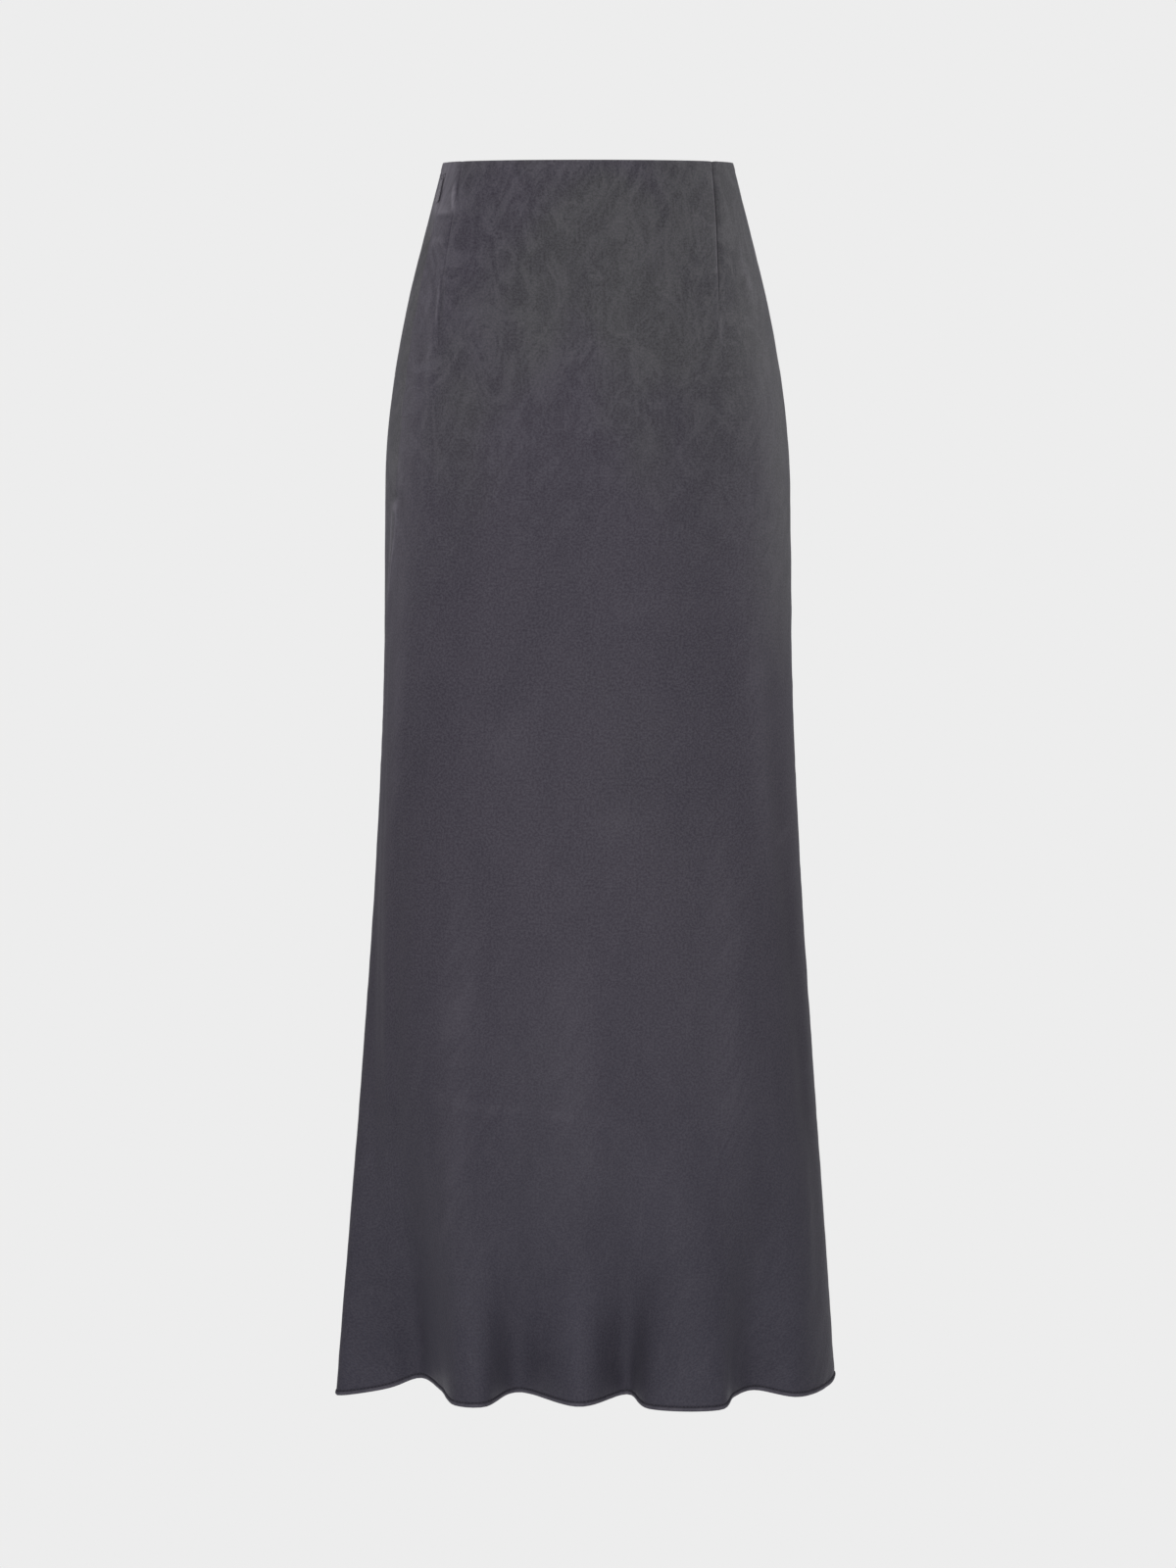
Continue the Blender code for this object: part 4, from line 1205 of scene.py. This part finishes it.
def thread(name):
    """Twisted sewing thread in the cloth's colour."""
    shader = Shader(name, 0.55)
    shader.set("Sheen Weight", 0.2)
    twist = shader.noise(shader.spot(), 2600.0, 2.0, 0.6)
    colour = shader.mixed(shader.ranged(twist, 0.3, 0.7), SATIN_DARK, SATIN_MIDDLE)
    return shader.link(Base_Color=colour, Normal=shader.bump(twist, 0.00006, 0.6))


def woven_tape(name):
    """A matt twill-woven polyester tape in the cloth's colour."""
    shader = Shader(name, 0.85)
    flat = shader.places("cloth")
    weave = shader.twill(flat, 260.0, 0.6)
    wear = shader.ranged(shader.noise(flat, 240.0, 4.0, 0.6), 0.45, 0.75, 0.0, 0.5)
    colour = shader.mixed(wear, shader.mixed(weave, TAPE_DARK, TAPE_LIGHT), SATIN_LIGHT)
    return shader.link(Base_Color=colour, Normal=shader.bump(weave, 0.00012, 0.8))


def nylon(name):
    """The moulded coil: smooth nylon, a little cloudy."""
    shader = Shader(name, 0.38)
    cloud = shader.noise(shader.spot(), 900.0, 3.0, 0.6)
    colour = shader.mixed(cloud, NYLON_DARK, NYLON_LIGHT)
    rough = shader.ranged(cloud, 0.3, 0.7, 0.30, 0.48)
    return shader.link(Base_Color=colour, Roughness=rough, Normal=shader.bump(cloud, 0.00004, 0.4))


def enamel(name):
    """Zip hardware: metal under satin enamel in the cloth's colour, its finish a little uneven."""
    shader = Shader(name, 0.42)
    shader.set("Specular IOR Level", 0.35)
    cloud = shader.noise(shader.spot(), 420.0, 4.0, 0.6)
    scratch = shader.noise(shader.stretched(shader.spot(), (1.0, 1.0, 0.15)), 2600.0, 3.0, 0.7)
    colour = shader.mixed(cloud, ENAMEL_DARK, ENAMEL_LIGHT)
    colour = shader.mixed(shader.ranged(scratch, 0.62, 0.78, 0.0, 0.6), colour, ENAMEL_SCRATCH)
    rough = shader.ranged(cloud, 0.3, 0.7, 0.34, 0.52)
    return shader.link(Base_Color=colour, Roughness=rough, Normal=shader.bump(scratch, 0.00002, 0.5))


# ------------------------------------------------------------------ stage, light and camera
BACKGROUND = (0.847, 0.847, 0.847, 1.0)   # the pale ground, in linear light
FLOOR_BELOW_HEM = 0.26
FLOOR_SIZE = 14.0
FLOOR_DARK = (0.80, 0.80, 0.80, 1.0)
FLOOR_LIGHT = (0.84, 0.84, 0.84, 1.0)
FLOOR_FADE = 0.50        # at this distance the floor has the ground's own brightness
LIGHT_FROM_BELOW, LIGHT_FROM_ABOVE = 0.17, 0.42


def make_stage():
    """A pale floor well below the hem, which fades into the ground's own brightness."""
    floor_height = cad_box[0][2] - FLOOR_BELOW_HEM
    bpy.ops.mesh.primitive_plane_add(size=FLOOR_SIZE, location=(0.0, 0.0, floor_height))
    floor = bpy.context.object
    floor.name = "floor"
    shader = Shader("floor", 0.9)
    shader.set("Specular IOR Level", 0.1)
    spot = shader.spot()
    distance = shader.node("ShaderNodeVectorMath", ((0, spot),), operation="LENGTH").outputs["Value"]
    shader.link(Base_Color=shader.mixed(shader.noise(spot, 3.0, 2.0), FLOOR_DARK, FLOOR_LIGHT))
    glow = shader.node("ShaderNodeEmission", (("Color", BACKGROUND),))
    share = shader.ranged(distance, 0.0, FLOOR_FADE, 0.65, 1.0)
    mixture = ((0, share), (1, shader.surface.outputs[0]), (2, glow.outputs[0]))
    both = shader.node("ShaderNodeMixShader", mixture)
    shader.tree.links.new(both.outputs[0], shader.tree.nodes["Material Output"].inputs["Surface"])
    floor.data.materials.append(shader.material)


def make_world():
    """Soft light from all round, a little stronger from above, on a plain pale ground."""
    world = bpy.data.worlds.new("studio")
    bpy.context.scene.world = world
    world.use_nodes = True
    nodes = Nodes(world.node_tree)
    ground = nodes.tree.nodes["Background"]
    ground.inputs["Color"].default_value = BACKGROUND
    ground.inputs["Strength"].default_value = 1.0
    up = nodes.split(nodes.spot("Generated"))[2]
    strength = nodes.ranged(up, -1.0, 1.0, LIGHT_FROM_BELOW, LIGHT_FROM_ABOVE, "LINEAR")
    soft = nodes.node("ShaderNodeBackground", (("Strength", strength),))
    seen = nodes.node("ShaderNodeLightPath").outputs["Is Camera Ray"]
    choose = nodes.node("ShaderNodeMixShader", ((0, seen), (1, soft.outputs[0]), (2, ground.outputs[0])))
    nodes.tree.links.new(choose.outputs[0], nodes.tree.nodes["World Output"].inputs["Surface"])


Lamp = namedtuple("Lamp", "name place aim width height power spread")
LAMPS = [
    Lamp("key", (-0.6, -2.8, 1.1), (0.0, 0.0, -0.25), 1.8, 1.8, 22.0, 180.0),
    Lamp("fill", (0.0, -3.3, -0.8), (0.0, 0.0, -0.75), 3.2, 2.0, 61.0, 180.0),
    Lamp("left", (-1.4, 0.4, 0.15), (0.0, 0.0, -0.22), 0.5, 0.5, 0.35, 36.0),
    Lamp("right", (1.4, 0.4, 0.15), (0.0, 0.0, -0.20), 0.5, 0.5, 0.60, 36.0),
    Lamp("behind", (0.0, 3.0, 0.6), (0.0, 0.0, -0.35), 1.4, 1.8, 24.0, 180.0),
]


def make_lamps():
    for lamp in LAMPS:
        data = bpy.data.lights.new(lamp.name, "AREA")
        data.shape = "RECTANGLE"
        data.size, data.size_y = lamp.width, lamp.height
        data.energy = lamp.power
        data.spread = math.radians(lamp.spread)
        made = bpy.data.objects.new(lamp.name, data)
        place = Vector(lamp.place)
        made.location = place
        made.rotation_mode = "QUATERNION"
        made.rotation_quaternion = (Vector(lamp.aim) - place).to_track_quat("-Z", "Y")
        made.visible_camera = False
        bpy.context.scene.collection.objects.link(made)


CAMERA_HEIGHT = -0.5064
CAMERA_DISTANCE = 3.0
SENSOR_WIDTH, LENS = 36.0, 84.375


def make_camera():
    """Level with the middle of the skirt and straight in front of it."""
    data = bpy.data.cameras.new("camera")
    data.sensor_width = SENSOR_WIDTH
    data.lens = LENS
    made = bpy.data.objects.new("camera", data)
    made.location = (0.0, -CAMERA_DISTANCE, CAMERA_HEIGHT)
    made.rotation_euler = (math.pi / 2, 0.0, 0.0)
    bpy.context.scene.collection.objects.link(made)
    bpy.context.scene.camera = made


# ------------------------------------------------------------------ the skirt
def main():
    bpy.context.scene.view_settings.view_transform = "Standard"
    make_camera()
    make_world()
    make_lamps()
    make_stage()
    cloth, sewing, tape = satin("satin"), thread("thread"), woven_tape("zip_tape")
    coil, metal = nylon("zip_coil"), enamel("zip_enamel")
    for name in ("front", "back"):
        panel = Panel(name)
        made = make_panel(panel, cloth)
        hem = make_hem(panel, cloth)
        stitches = make_hem_stitches(panel, sewing)
        widths = panel.across[:, -1] - panel.across[:, 0]
        area = float(np.trapz(widths, panel.drop[:, 0]))
        make_tape(panel, tape)
    make_chain(coil)
    make_chain_stitches(sewing)
    make_slider(metal)
    make_pull(metal)
    frame["nodes"]["zip_stop"].material_slots[0].material = metal


main()
